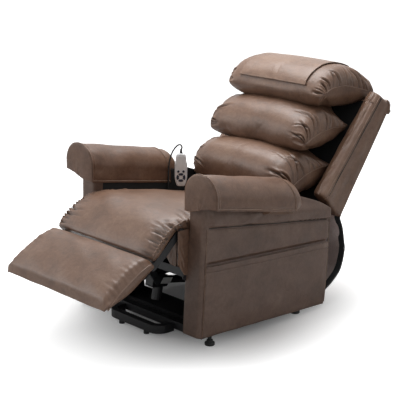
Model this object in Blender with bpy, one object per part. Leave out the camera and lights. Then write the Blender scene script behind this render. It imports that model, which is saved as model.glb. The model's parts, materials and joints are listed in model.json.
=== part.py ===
"""Lift recliner chair: steel lift base, tilting seat frame, reclining back and swing-up leg rest.

Metres. +X is the sitter's left, the front faces -Y and +Z is up. Side profiles are written as
(y, z) pairs measured from the arms' front faces and the floor. The last step moves the chair so
that the origin lies on the floor under the middle of its whole length.
"""

import bmesh
import bpy
from math import atan2, cos, hypot, pi, radians, sin, tan
from mathutils import Matrix, Vector

for old in list(bpy.data.objects):
    bpy.data.objects.remove(old, do_unlink=True)

# ---------------------------------------------------------------- driving dimensions
GAP = 0.0003                 # left between pieces that touch
SLACK = 0.0005               # side clearance of a pin in its hole
MIDDLE_Y = 0.340             # middle of the chair's length, behind the arms' front faces

# arms
ARM_INNER = 0.254            # half of the width between the arms
ARM_THICK = 0.077
ARM_WALL = 0.009
ARM_DEPTH = 0.672
ARM_BOTTOM_FRONT = 0.053
ARM_BOTTOM_REAR = 0.017
ARM_REAR_LEAN = 0.023        # the rear edge leans back by this at its top
ARM_REAR_TOP = 0.385
ARM_POST_LEAN = 0.0215       # the front edge leans back by this under the roll
ARM_POST_TOP = 0.470
ARM_INNER_LIFT = 0.068       # lower edge of the inner wall, over the base's cross tubes
ROLL_OVERHANG = 0.0645       # the roll stands out from the arm's side by this
ROLL_TOP = 0.6315
ROLL_UNDERSIDE = 0.535
ROLL_FALL = 0.189            # the roll falls to the rear by this slope
ROLL_LENGTH = 0.436
COVER_WALL = 0.004
COVER_LENGTH = 0.413
COVER_EDGE_INNER = 0.500
COVER_EDGE_OUTER = 0.529
COVER_EDGE_FALL = 0.19
POCKET_WALL = 0.003
POCKET_SLIT = 0.0046
POCKET_HEM = 0.014
POCKET_MOUTH_FRONT = 0.312
POCKET_MOUTH_REAR = 0.262

# seat frame
PLATE = 0.006                # thickness of the side plates
ARM_BAR = 0.012              # thickness of the lift arms and of the leg-rest arms
DECK_FRONT_Z = 0.362
DECK_FRONT_Y = 0.032
DECK_REAR_Y = 0.50
DECK_FALL = 0.165
DECK_THICK = 0.012
RAIL = 0.030                 # square tube of the cross rails
FRONT_RAIL_Y = 0.007
FRONT_RAIL_Z = 0.256
MID_RAIL_Y = 0.385
MID_RAIL_Z = 0.186
REAR_RAIL_Z = 0.045
REAR_RAIL_TALL = 0.040
REAR_RAIL_THICK = 0.018

# base
BASE_RAIL_X = 0.300
BASE_RAIL_Y0 = 0.055
BASE_RAIL_Y1 = 0.575
FOOT_HIGH = 0.022
FOOT_RADIUS = 0.014
FOOT_FRONT_Y = 0.083
FOOT_REAR_Y = 0.542
LOOP_HALF = 0.145
LOOP_FRONT_Y = -0.021
LOOP_BAR = 0.024
LOOP_Z0 = 0.014
LOOP_TALL = 0.031
LOOP_RADIUS = 0.048
GLIDE_X = 0.068
GLIDE_RADIUS = 0.011
CROSS_FRONT_Y = 0.056
CROSS_REAR_Y = 0.497
BRIDGE_Y0 = 0.132
BRIDGE_Y1 = 0.248
BRIDGE_THICK = 0.018

# pivots, as (y, z)
LIFT_FRONT_BASE = (0.160, 0.090)
LIFT_FRONT_SEAT = (0.340, 0.120)
LIFT_REAR_BASE = (0.220, 0.090)
LIFT_REAR_SEAT = (0.560, 0.140)
LIFT_TUBE = (0.300, 0.166)
BACK_PIVOT = (ARM_DEPTH - 0.072, 0.360)
LEG_PIVOT = (-0.015, 0.425)
FOOT_PIVOT = (-0.136, 0.324)
LEG_TUBE = (-0.085, 0.360)
LIFT_MOTOR_TAIL = (0.085, 0.165)
LIFT_ROD_END = (0.480, 0.082)
LEG_MOTOR_TAIL = (0.360, 0.262)
LEG_ROD_END = (-0.041, 0.3284)
BACK_MOTOR_TAIL = (0.060, 0.262)
BACK_ROD_END = (BACK_PIVOT[0] + 0.020, BACK_PIVOT[1] - 0.110)
PIN_RADIUS = 0.007
OPEN_PIN_SLACK = 0.0018      # play of the rear lift arm on its seat pin
ARM_BAR_HALF = 0.0125        # half of the width of an arm bar
TUBE_RADIUS = 0.0115

# linear actuators
LIFT_TUBE_LONG = 0.300
LEG_TUBE_LONG = 0.255
BACK_TUBE_LONG = 0.390
LIFT_ROD_FROM = 0.100        # the rod's inner end, measured from the motor's tail pivot
LEG_ROD_FROM = 0.165
BACK_ROD_FROM = 0.130
BORE_FROM = 0.085
LIFT_MOTOR_X = 0.0
LEG_MOTOR_X = 0.060
BACK_MOTOR_X = -0.060
LUG_GAP_HALF = 0.020
LUG = 0.006
LUG_RADIUS = 0.017
HOUSING_LONG = 0.078
HOUSING_HALF = 0.0195
CAN_RADIUS = 0.019
CAN_LONG = 0.050
OUTER_TUBE_RADIUS = 0.015
ROD_RADIUS = 0.010
ROD_EYE_RADIUS = 0.012

# back, in its own (s, n): s runs up its slope from the pivot, n stands out to the front
BACK_LEAN = radians(35.6)
WING_INNER = 0.266
WING_THICK = 0.065
WING_FRONT_LOW = (0.1005, 0.009)
WING_FRONT_TOP = (0.578, -0.042)
WING_REAR_TOP = (0.572, -0.130)
WING_REAR_LOW = (0.076, -0.130)
BOARD_SETBACK = 0.085        # the board's face, behind the line from the pivot up the back
BOARD_WALL = 0.041
BOARD_TOP_S = 0.565
BOARD_SPLIT_S = 0.106        # above this the board is as wide as the space between the wings
BOARD_LOW_S = -0.055
REAR_PANEL_WALL = 0.004

# back cushions, placed from the back's pivot: middle of the side profile, half depth, half height, tilt
CUSHION_HALF = 0.2535
LOW_CUSHION = ((0.072, 0.154), 0.167, 0.098, radians(9))
MID_CUSHION = ((0.172, 0.322), 0.172, 0.094, radians(8))
HEAD_CUSHION = ((0.266, 0.480), 0.170, 0.080, radians(-2))
LOW_FLOOR = (-0.080, 0.068)   # flat underside of the lowest cushion
LOW_FLOOR_TILT = radians(-6)
LOW_MID_CONTACT = (0.020, 0.241)
LOW_MID_TILT = radians(10)
MID_HEAD_CONTACT = (0.140, 0.405)
MID_HEAD_TILT = radians(6)
HEAD_COVER_HALF = 0.171
HEAD_COVER_WALL = 0.003
HEAD_COVER_START = radians(190)
HEAD_COVER_END = radians(18)

# seat and leg rest
SEAT_CUSHION_HALF = 0.239
SEAT_CUSHION_REAR_Y = 0.490
SEAT_TOP_FRONT = 0.4765
SEAT_CROWN = 0.010
LEG_PAD_HALF = 0.247
LEG_PAD_INNER_RADIUS = 0.0158
LEG_PAD_CROWN = 0.010
# along the leg rest from the hinge: underside, top, share of the width
LEG_PAD_ROWS = ((-0.004, 0.0158, 0.0545, 1.0), (0.030, 0.0125, 0.0640, 1.0), (0.065, 0.0125, 0.0690, 1.0),
                (0.100, 0.0125, 0.0660, 1.0), (0.125, 0.0125, 0.0580, 1.0), (0.143, 0.0125, 0.0470, 0.99),
                (0.152, 0.0140, 0.0380, 0.97))
RIDGE = (-0.163, 0.366)      # crease between the leg pad and the footrest pad
FOOT_EDGE = (-0.362, 0.240)  # lower front edge of the footrest pad
FOOTREST_HALF_TOP = 0.255
FOOTREST_HALF_LOW = 0.276
FOOTREST_PAD_THICK = 0.045
BOARD_THICK = 0.015
FOOTREST_BOARD_MARGIN = 0.012
FOOTREST_CROWN = 0.010

# rear skirt, from the back's lower edge round to the rear rail
SKIRT_WALL = 0.0024
SKIRT_HALF = 0.325
SKIRT_BULGE = ((0.115, 0.249), (0.126, 0.200), (0.105, 0.133), (0.050, 0.088))    # behind the arm, and height
SKIRT_FOOT_Z = 0.064

# handset and its lead
HANDSET_WIDE = 0.050
HANDSET_TALL = 0.132
HANDSET_THICK = 0.022
HANDSET_PLACE = (-0.2115, 0.4235, 0.4875)
HANDSET_TURN = radians(47)
ROUND_BUTTON_RADIUS = 0.0045
ROUND_BUTTON_X = 0.0100
ROUND_BUTTON_Z = -0.006
RING_Z = -0.030
RING_OUTER = 0.0175
RING_INNER = 0.0085
RING_SPLIT = radians(20)
BUTTON_STAND = 0.0015
BUTTON_DEEP = 0.0026
BUTTON_WELL = 0.0045
LEAD_RADIUS = 0.003
LEAD_BEND = 0.0125           # bend of the lead over the edge of the control box
COIL_RADIUS = 0.034
COIL_PITCH = 0.0066
COIL_TURNS = 2.5
COIL_SIDES = 32
COIL_LEAVE = 0.0212           # length in which the lead leaves the coil's ring
CONTROL_BOX_LOW = (-0.205, 0.000, 0.188)
CONTROL_BOX_SIZE = (0.110, 0.115, 0.042)

# worked out from the above
ARM_OUTER = ARM_INNER + ARM_THICK
ROLL_OUTER = ARM_OUTER + ROLL_OVERHANG
PLATE_OUTER = ARM_INNER - GAP
PLATE_INNER = PLATE_OUTER - PLATE
BAR_OUTER = PLATE_INNER - GAP
BAR_INNER = BAR_OUTER - ARM_BAR
LUG_OUTER = BAR_INNER - GAP
LUG_INNER = LUG_OUTER - ARM_BAR
INNER_BAR_OUTER = LUG_INNER - GAP
INNER_BAR_INNER = INNER_BAR_OUTER - ARM_BAR
WING_OUTER = WING_INNER + WING_THICK
BOARD_FRONT_N = -BOARD_SETBACK
BOARD_BACK_N = BOARD_FRONT_N - BOARD_WALL


# ---------------------------------------------------------------- materials
def material(name, colour, roughness, metallic=0.0):
    made = bpy.data.materials.new(name)
    made.use_nodes = True
    shader = made.node_tree.nodes["Principled BSDF"]
    shader.inputs["Base Color"].default_value = (*colour, 1.0)
    shader.inputs["Roughness"].default_value = roughness
    shader.inputs["Metallic"].default_value = metallic
    made.diffuse_color = (*colour, 1.0)
    return made


LEATHER = material("brown leather", (0.185, 0.118, 0.088), 0.42)
LEATHER_DARK = material("shaded leather", (0.120, 0.076, 0.058), 0.5)
LINING = material("black lining", (0.012, 0.012, 0.016), 0.85)
STEEL = material("black steel", (0.018, 0.018, 0.020), 0.4, 0.6)
ZINC = material("zinc plate", (0.45, 0.46, 0.48), 0.35, 1.0)
RUBBER = material("black rubber", (0.02, 0.02, 0.02), 0.75)
PLASTIC = material("black plastic", (0.03, 0.03, 0.032), 0.5)
SHELL = material("white plastic", (0.82, 0.83, 0.84), 0.35)
BUTTON = material("button rubber", (0.05, 0.06, 0.08), 0.6)
WOOD = material("plywood", (0.45, 0.30, 0.17), 0.7)
CABLE = material("cable sheath", (0.015, 0.015, 0.016), 0.45)
MESH = material("spring deck cloth", (0.05, 0.05, 0.05), 0.9)


# ---------------------------------------------------------------- shape helpers
def finish(bm, name, look, smooth=None):
    """Turn a bmesh into a named object with one material."""
    bmesh.ops.remove_doubles(bm, verts=bm.verts, dist=0.00001)
    bmesh.ops.recalc_face_normals(bm, faces=bm.faces)
    mesh = bpy.data.meshes.new(name)
    bm.to_mesh(mesh)
    bm.free()
    mesh.materials.append(look)
    if smooth is not None:
        mesh.shade_smooth()
        mesh.set_sharp_from_angle(angle=smooth)
    made = bpy.data.objects.new(name, mesh)
    bpy.context.scene.collection.objects.link(made)
    return made


def rounded(points, radius, steps=3):
    """Round every corner of a closed (y, z) outline with an arc."""
    result = []
    count = len(points)
    for i in range(count):
        here = Vector(points[i])
        before = Vector(points[i - 1]) - here
        after = Vector(points[(i + 1) % count]) - here
        half = before.angle(after) / 2
        reach = min(radius / tan(half), before.length * 0.49, after.length * 0.49)
        bow = reach * tan(half)
        middle = here + (before.normalized() + after.normalized()).normalized() * (bow / sin(half))
        start = here + before.normalized() * reach - middle
        end = here + after.normalized() * reach - middle
        turn = atan2(start.x * end.y - start.y * end.x, start.dot(end))
        for k in range(steps + 1):
            a = turn * k / steps
            result.append((middle.x + start.x * cos(a) - start.y * sin(a),
                           middle.y + start.x * sin(a) + start.y * cos(a)))
    return result


def hull(centres, radius, steps=20):
    """Convex outline round equal circles."""
    cloud = sorted({(round(y + radius * cos(2 * pi * k / steps), 6), round(z + radius * sin(2 * pi * k / steps), 6))
                    for y, z in centres for k in range(steps)})

    def chain(points):
        line = []
        for p in points:
            while len(line) > 1 and ((line[-1][0] - line[-2][0]) * (p[1] - line[-2][1])
                                     - (line[-1][1] - line[-2][1]) * (p[0] - line[-2][0])) <= 0:
                line.pop()
            line.append(p)
        return line[:-1]

    return chain(cloud) + chain(cloud[::-1])


def circle(centre, radius, steps=16):
    return [(centre[0] + radius * cos(2 * pi * k / steps), centre[1] + radius * sin(2 * pi * k / steps))
            for k in range(steps)]


def plate_mesh(outline, x0, x1, holes=()):
    """Side profile with holes, extruded from x0 to x1."""
    bm = bmesh.new()
    edges = []
    for ring in (outline, *holes):
        verts = [bm.verts.new((x0, y, z)) for y, z in ring]
        edges += [bm.edges.new((verts[i - 1], verts[i])) for i in range(len(verts))]
    made = bmesh.ops.triangle_fill(bm, use_beauty=True, edges=edges)
    faces = [g for g in made["geom"] if isinstance(g, bmesh.types.BMFace)]
    moved = bmesh.ops.extrude_face_region(bm, geom=faces)
    bmesh.ops.translate(bm, vec=(x1 - x0, 0, 0), verts=[g for g in moved["geom"] if isinstance(g, bmesh.types.BMVert)])
    return bm


def plate(name, outline, x0, x1, look, holes=()):
    return finish(plate_mesh(outline, x0, x1, holes), name, look)


def box(name, low, high, look):
    (x0, y0, z0), (x1, y1, z1) = low, high
    return plate(name, [(y0, z0), (y1, z0), (y1, z1), (y0, z1)], x0, x1, look)


def pin(name, centre, radius, x0, x1, look, steps=16):
    """Round bar along X."""
    made = plate(name, circle(centre, radius, steps), x0, x1, look)
    made.data.shade_smooth()
    made.data.set_sharp_from_angle(angle=radians(40))
    return made


def bar(name, start, end, radius, x, look, steps=14):
    """Round bar in a plane of constant X."""
    bm = bmesh.new()
    run = Vector((0, end[0] - start[0], end[1] - start[1]))
    turn = run.to_track_quat("Z", "Y").to_matrix().to_4x4()
    place = Matrix.Translation((x, (start[0] + end[0]) / 2, (start[1] + end[1]) / 2)) @ turn
    bmesh.ops.create_cone(bm, cap_ends=True, segments=steps, radius1=radius, radius2=radius,
                          depth=run.length, matrix=place)
    return finish(bm, name, look, radians(40))


def loft(name, rings, look, smooth=radians(50)):
    """Closed skin over rings of equal length, capped at both ends."""
    bm = bmesh.new()
    rows = [[bm.verts.new(p) for p in ring] for ring in rings]
    count = len(rows[0])
    for a, b in zip(rows, rows[1:]):
        for i in range(count):
            bm.faces.new((a[i - 1], a[i], b[i], b[i - 1]))
    for row in (rows[0], rows[-1]):
        hub = bm.verts.new(sum((v.co for v in row), Vector()) / count)
        for i in range(count):
            bm.faces.new((row[i - 1], row[i], hub))
    return finish(bm, name, look, smooth)


def combine(target, others, kind):
    """Apply exact booleans and remove the tools."""
    bpy.context.view_layer.objects.active = target
    for other in others:
        modifier = target.modifiers.new(kind.lower(), "BOOLEAN")
        modifier.operation = kind
        modifier.solver = "EXACT"
        modifier.object = other
    bpy.context.view_layer.update()
    evaluated = target.evaluated_get(bpy.context.evaluated_depsgraph_get())
    mesh = bpy.data.meshes.new_from_object(evaluated)
    target.modifiers.clear()
    target.data = mesh
    for other in others:
        bpy.data.objects.remove(other, do_unlink=True)
    return target


def join(target, others):
    return combine(target, others, "UNION")


def cut(target, others):
    return combine(target, others, "DIFFERENCE")


def sides():
    """The two sides of the chair: the sitter's left is +X."""
    return (("left", 1), ("right", -1))


def span(side, inner, outer):
    """X range of a piece on one side."""
    return sorted((side * inner, side * outer))


def set_pivot(made, y, z):
    """Move an object's origin onto its joint axis without moving its mesh."""
    made.data.transform(Matrix.Translation((0, -y, -z)))
    made.location = (0, y, z)


def back_point(s, n):
    """Point of the back, from its own (s, n) to (y, z)."""
    return (BACK_PIVOT[0] + s * sin(BACK_LEAN) - n * cos(BACK_LEAN),
            BACK_PIVOT[1] + s * cos(BACK_LEAN) + n * sin(BACK_LEAN))


def power(value, exponent):
    return (1 if value >= 0 else -1) * abs(value) ** exponent


# ---------------------------------------------------------------- base on the floor
def base():
    top = FOOT_HIGH + RAIL
    for word, side in sides():
        x0, x1 = span(side, BASE_RAIL_X - RAIL / 2, BASE_RAIL_X + RAIL / 2)
        box(f"base_rail_{word}", (x0, BASE_RAIL_Y0, FOOT_HIGH + GAP), (x1, BASE_RAIL_Y1, top), STEEL)
        for place, y in (("front", FOOT_FRONT_Y), ("rear", FOOT_REAR_Y)):
            foot(f"foot_{place}_{word}", side * BASE_RAIL_X, y)
    reach = BASE_RAIL_X - RAIL / 2 - GAP
    box("base_cross_front", (-reach, CROSS_FRONT_Y, FOOT_HIGH + GAP), (reach, CROSS_FRONT_Y + RAIL, top), STEEL)
    rear = box("base_cross_rear", (-reach, CROSS_REAR_Y, FOOT_HIGH + GAP), (reach, CROSS_REAR_Y + RAIL, top), STEEL)
    join(rear, lugs("rear_lug", LIFT_MOTOR_X, [LIFT_ROD_END, (CROSS_REAR_Y + RAIL / 2, FOOT_HIGH + LUG_RADIUS + GAP)]))
    bridge(reach, top)
    front_loop()


def foot(name, x, y):
    """Levelling foot: a disc under a short threaded stem."""
    bm = bmesh.new()
    rings = ((FOOT_RADIUS * 0.9, 0.0), (FOOT_RADIUS, 0.002), (FOOT_RADIUS, 0.009), (FOOT_RADIUS * 0.62, 0.012),
             (FOOT_RADIUS * 0.62, FOOT_HIGH))
    steps = 16
    rows = []
    for radius, z in rings:
        rows.append([bm.verts.new((x + radius * cos(2 * pi * k / steps), y + radius * sin(2 * pi * k / steps), z))
                     for k in range(steps)])
    for a, b in zip(rows, rows[1:]):
        for k in range(steps):
            bm.faces.new((a[k - 1], a[k], b[k], b[k - 1]))
    bm.faces.new(rows[0])
    bm.faces.new(rows[-1])
    return finish(bm, name, RUBBER, radians(40))


def lugs(name, x, centres, radius=LUG_RADIUS):
    """A pair of ears either side of x."""
    outline = hull(centres, radius)
    return [plate(f"{name}_{word}", outline, *sorted((x + side * LUG_GAP_HALF, x + side * (LUG_GAP_HALF + LUG))), STEEL)
            for word, side in sides()]


def bridge(reach, top):
    """Cross plate that carries the lower pivots of all four lift arms."""
    made = box("base_pivot_bridge", (-reach, BRIDGE_Y0, FOOT_HIGH + GAP), (reach, BRIDGE_Y1, FOOT_HIGH + BRIDGE_THICK),
               STEEL)
    foot_z = FOOT_HIGH + BRIDGE_THICK / 2 + 0.004
    ear = rounded([(BRIDGE_Y0 + 0.006, foot_z), (BRIDGE_Y1 - 0.006, foot_z),
                   (LIFT_REAR_BASE[0] + 0.017, LIFT_REAR_BASE[1] + 0.017),
                   (LIFT_FRONT_BASE[0] - 0.017, LIFT_FRONT_BASE[1] + 0.017)], 0.012)
    extra = []
    for word, side in sides():
        extra.append(plate(f"ear_{word}", ear, *span(side, LUG_INNER, LUG_OUTER), STEEL))
        extra.append(pin(f"front_pin_{word}", LIFT_FRONT_BASE, PIN_RADIUS,
                         *span(side, LUG_OUTER - 0.002, BAR_OUTER), STEEL))
        extra.append(pin(f"rear_pin_{word}", LIFT_REAR_BASE, PIN_RADIUS,
                         *span(side, INNER_BAR_INNER, LUG_INNER + 0.002), STEEL))
    join(made, extra)


def front_loop():
    """Forward loop of flat tube that steadies the chair when it is raised."""
    end_y = CROSS_FRONT_Y - GAP
    outer = [(-LOOP_HALF, end_y), (-LOOP_HALF, LOOP_FRONT_Y), (LOOP_HALF, LOOP_FRONT_Y), (LOOP_HALF, end_y)]
    inner = [(x * (LOOP_HALF - LOOP_BAR) / LOOP_HALF, y if y == end_y else y + LOOP_BAR) for x, y in outer]

    def bend(points, radius):
        """Round the two front corners of an open U."""
        line = [points[0]]
        for corner, start in ((points[1], pi), (points[2], 1.5 * pi)):
            side = -1 if corner[0] < 0 else 1
            middle = (corner[0] - side * radius, corner[1] + radius)
            line += [(middle[0] + radius * cos(start + 0.5 * pi * k / 5), middle[1] + radius * sin(start + 0.5 * pi * k / 5))
                     for k in range(6)]
        return line + [points[3]]

    edge = bend(outer, LOOP_RADIUS) + bend(inner, LOOP_RADIUS - LOOP_BAR)[::-1]
    bm = bmesh.new()
    verts = [bm.verts.new((x, y, LOOP_Z0 + GAP)) for x, y in edge]
    lines = [bm.edges.new((verts[i - 1], verts[i])) for i in range(len(verts))]
    made = bmesh.ops.triangle_fill(bm, use_beauty=True, edges=lines)
    moved = bmesh.ops.extrude_face_region(bm, geom=[g for g in made["geom"] if isinstance(g, bmesh.types.BMFace)])
    bmesh.ops.translate(bm, vec=(0, 0, LOOP_TALL), verts=[g for g in moved["geom"] if isinstance(g, bmesh.types.BMVert)])
    loop = finish(bm, "base_front_loop", STEEL)
    join(loop, [glide(side * GLIDE_X, LOOP_FRONT_Y + LOOP_BAR / 2) for _, side in sides()])


def glide(x, y):
    """Pad under the loop, let into the bar."""
    bm = bmesh.new()
    tall = LOOP_Z0 + LOOP_TALL / 2
    bmesh.ops.create_cone(bm, cap_ends=True, segments=14, radius1=GLIDE_RADIUS, radius2=GLIDE_RADIUS * 0.86,
                          depth=tall, matrix=Matrix.Translation((x, y, tall / 2)))
    return finish(bm, "glide", STEEL, radians(40))


# ---------------------------------------------------------------- lift arms
def lift_arms():
    for word, side in sides():
        front = plate(f"lift_front_arm_{word}", hull([LIFT_FRONT_BASE, LIFT_TUBE, LIFT_FRONT_SEAT], ARM_BAR_HALF),
                      *span(side, BAR_INNER, BAR_OUTER), STEEL,
                      [circle(LIFT_FRONT_BASE, PIN_RADIUS + SLACK), circle(LIFT_FRONT_SEAT, PIN_RADIUS + SLACK)])
        set_pivot(front, *LIFT_FRONT_BASE)
        rear = plate(f"lift_rear_arm_{word}", hull([LIFT_REAR_BASE, LIFT_REAR_SEAT], ARM_BAR_HALF),
                     *span(side, INNER_BAR_INNER, INNER_BAR_OUTER), STEEL,
                     [circle(LIFT_REAR_BASE, PIN_RADIUS + SLACK), circle(LIFT_REAR_SEAT, PIN_RADIUS + OPEN_PIN_SLACK)])
        set_pivot(rear, *LIFT_REAR_BASE)
    tube = pin("lift_torque_tube", LIFT_TUBE, TUBE_RADIUS, -LUG_OUTER, LUG_OUTER, STEEL)
    set_pivot(tube, *LIFT_FRONT_BASE)


# ---------------------------------------------------------------- seat frame
def deck_z(y):
    return DECK_FRONT_Z - DECK_FALL * (y - DECK_FRONT_Y)


def side_plates():
    """Steel side plates: leg-rest hinge at the front, lift pivots below, back pivot behind."""
    ly, lz = LEG_PIVOT
    fy, fz = LIFT_FRONT_SEAT
    ry, rz = LIFT_REAR_SEAT
    by, bz = BACK_PIVOT
    lobe = 0.014
    foot_half = 0.020
    rail_deep = 0.045
    front_y = FRONT_RAIL_Y - 0.011
    low_z = FRONT_RAIL_Z - 0.011
    outline = [
        (ly - lobe, lz + lobe), (ly - lobe, lz - lobe), (front_y, lz - 0.075), (front_y, low_z),
        (FRONT_RAIL_Y + RAIL + 0.014, low_z), (FRONT_RAIL_Y + RAIL + 0.026, deck_z(0.06) - 1.6 * rail_deep),
        (fy - 0.055, deck_z(fy) - 1.4 * rail_deep), (fy - foot_half, fz - foot_half), (fy + foot_half, fz - foot_half),
        (MID_RAIL_Y + RAIL + 0.01, MID_RAIL_Z - 0.01), (ry - 0.05, deck_z(ry) - 1.6 * rail_deep),
        (ry - foot_half, rz - foot_half), (ry + foot_half, rz - foot_half), (ry + 0.045, deck_z(ry) - rail_deep),
        (by + 0.022, bz - 0.03), (by + 0.022, bz + 0.022), (by - 0.022, bz + 0.022), (by - 0.036, deck_z(by)),
        (DECK_FRONT_Y, DECK_FRONT_Z), (ly + lobe, lz - 0.012), (ly + lobe, lz + lobe)]
    outline = rounded(outline, 0.0135)
    for word, side in sides():
        made = plate(f"seat_side_{word}", outline, *span(side, PLATE_INNER, PLATE_OUTER), STEEL)
        sunk = 0.002
        extra = [pin(f"leg_pin_{word}", LEG_PIVOT, PIN_RADIUS, *span(side, BAR_INNER, PLATE_INNER + sunk), STEEL),
                 pin(f"front_pin_{word}", LIFT_FRONT_SEAT, PIN_RADIUS, *span(side, BAR_INNER, PLATE_INNER + sunk), STEEL),
                 pin(f"rear_pin_{word}", LIFT_REAR_SEAT, PIN_RADIUS,
                     *span(side, INNER_BAR_INNER, PLATE_INNER + sunk), STEEL),
                 pin(f"back_pin_{word}", BACK_PIVOT, PIN_RADIUS, *span(side, BAR_INNER, PLATE_INNER + sunk), STEEL)]
        join(made, extra)


def seat_rails():
    """Cross rails with the ears that hold the three motors."""
    reach = PLATE_INNER - GAP
    front = box("seat_front_rail", (-reach, FRONT_RAIL_Y, FRONT_RAIL_Z),
                (reach, FRONT_RAIL_Y + RAIL, FRONT_RAIL_Z + RAIL), STEEL)
    rail_point = (FRONT_RAIL_Y + RAIL * 0.5, FRONT_RAIL_Z + RAIL * 0.5)
    join(front, lugs("lift_ear", LIFT_MOTOR_X, [rail_point, LIFT_MOTOR_TAIL], 0.013)
         + lugs("back_ear", BACK_MOTOR_X, [rail_point, BACK_MOTOR_TAIL], 0.013))
    middle = box("seat_mid_rail", (-reach, MID_RAIL_Y, MID_RAIL_Z), (reach, MID_RAIL_Y + RAIL, MID_RAIL_Z + RAIL), STEEL)
    join(middle, lugs("leg_ear", LEG_MOTOR_X, [(MID_RAIL_Y + RAIL * 0.5, MID_RAIL_Z + RAIL * 0.5), LEG_MOTOR_TAIL], 0.013))
    rear_y = arm_rear(REAR_RAIL_Z) - REAR_RAIL_THICK
    box("seat_rear_rail", (-ARM_INNER + GAP, rear_y, REAR_RAIL_Z),
        (ARM_INNER - GAP, rear_y + REAR_RAIL_THICK, REAR_RAIL_Z + REAR_RAIL_TALL), STEEL)


def seat_deck():
    """Sprung deck that the seat cushion lies on."""
    half = BAR_INNER
    front, rear = DECK_FRONT_Y + 0.015, DECK_REAR_Y
    outline = [(front, deck_z(front) - DECK_THICK), (rear, deck_z(rear) - DECK_THICK), (rear, deck_z(rear)),
               (front, deck_z(front))]
    made = plate("seat_deck", outline, -half, half, MESH)
    hooks = []
    for word, side in sides():
        for k, y in enumerate((front + 0.06, (front + rear) / 2, rear - 0.06)):
            low, high = deck_z(y) - DECK_THICK + 0.003, deck_z(y) - 0.003
            edge = [(y - 0.012, low), (y + 0.012, low), (y + 0.012, high), (y - 0.012, high)]
            hooks.append(plate(f"hook_{word}_{k}", edge, *span(side, half - 0.002, PLATE_INNER - GAP), MESH))
    join(made, hooks)


def seat_cushion():
    """Seat cushion: crowned top, flat underside on the deck, drawn-in sides."""
    front = LEG_PIVOT[0] + SEAT_TOP_FRONT - LEG_PIVOT[1] + 0.0015
    rings = []
    rows = ((0.0, 0.955, 0.80), (0.03, 0.99, 0.97), (0.12, 1.0, 1.0), (0.35, 1.0, 1.0), (0.60, 1.0, 1.0),
            (0.82, 1.0, 0.98), (0.95, 0.99, 0.92), (1.0, 0.96, 0.76))
    for t, wide, tall in rows:
        y = front + (SEAT_CUSHION_REAR_Y - front) * t
        low = deck_z(y) + GAP
        high = low + (SEAT_TOP_FRONT - ROLL_FALL * (y - front) - low) * tall
        rings.append(pad_ring(SEAT_CUSHION_HALF * wide, low, high, SEAT_CROWN * tall, lambda x, z, y=y: (x, y, z)))
    loft("seat_cushion", rings, LEATHER)


def pad_ring(half, low, high, crown, place, steps=9):
    """Ring across a pad: flat underside, sides drawn in at the seams, crowned top."""
    draw = half * 0.985
    ring = [place(-draw, low), place(draw, low), place(half, low + (high - low) * 0.45)]
    for k in range(steps + 1):
        x = half * (0.985 - 1.97 * k / steps)
        u = abs(x / half)
        ring.append(place(x, high + crown * (1 - u ** 2) - (high - low) * 0.16 * u ** 8))
    ring.append(place(-half, low + (high - low) * 0.45))
    return ring


# ---------------------------------------------------------------- arms
def arm_rear(z):
    """Y of the arm's rear edge at height z."""
    return ARM_DEPTH + ARM_REAR_LEAN * (z - ARM_BOTTOM_REAR) / (ARM_REAR_TOP - ARM_BOTTOM_REAR)


def roll_ring(y, inner, outer, top, low_inner, low_outer, shrink=1.0, steps=12):
    """Ring across the arm roll: half round over straight sides, falling to the rear."""
    middle = (inner + outer) / 2
    radius = (outer - inner) / 2
    fall = ROLL_FALL * y
    crown_z = top - radius
    ring = [(inner, low_inner - COVER_EDGE_FALL * y)]
    for k in range(steps + 1):
        a = pi - pi * k / steps
        ring.append((middle + radius * cos(a), crown_z + radius * sin(a) - fall))
    ring.append((outer, low_outer - COVER_EDGE_FALL * y))
    base_z = min(low_inner, low_outer) - COVER_EDGE_FALL * y
    return [(middle + (x - middle) * (0.5 + 0.5 * shrink), y, base_z + (z - base_z) * shrink) for x, z in ring]


def mirror_x(rings, side):
    return [[(side * x, y, z) for x, y, z in ring] for ring in rings]


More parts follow.
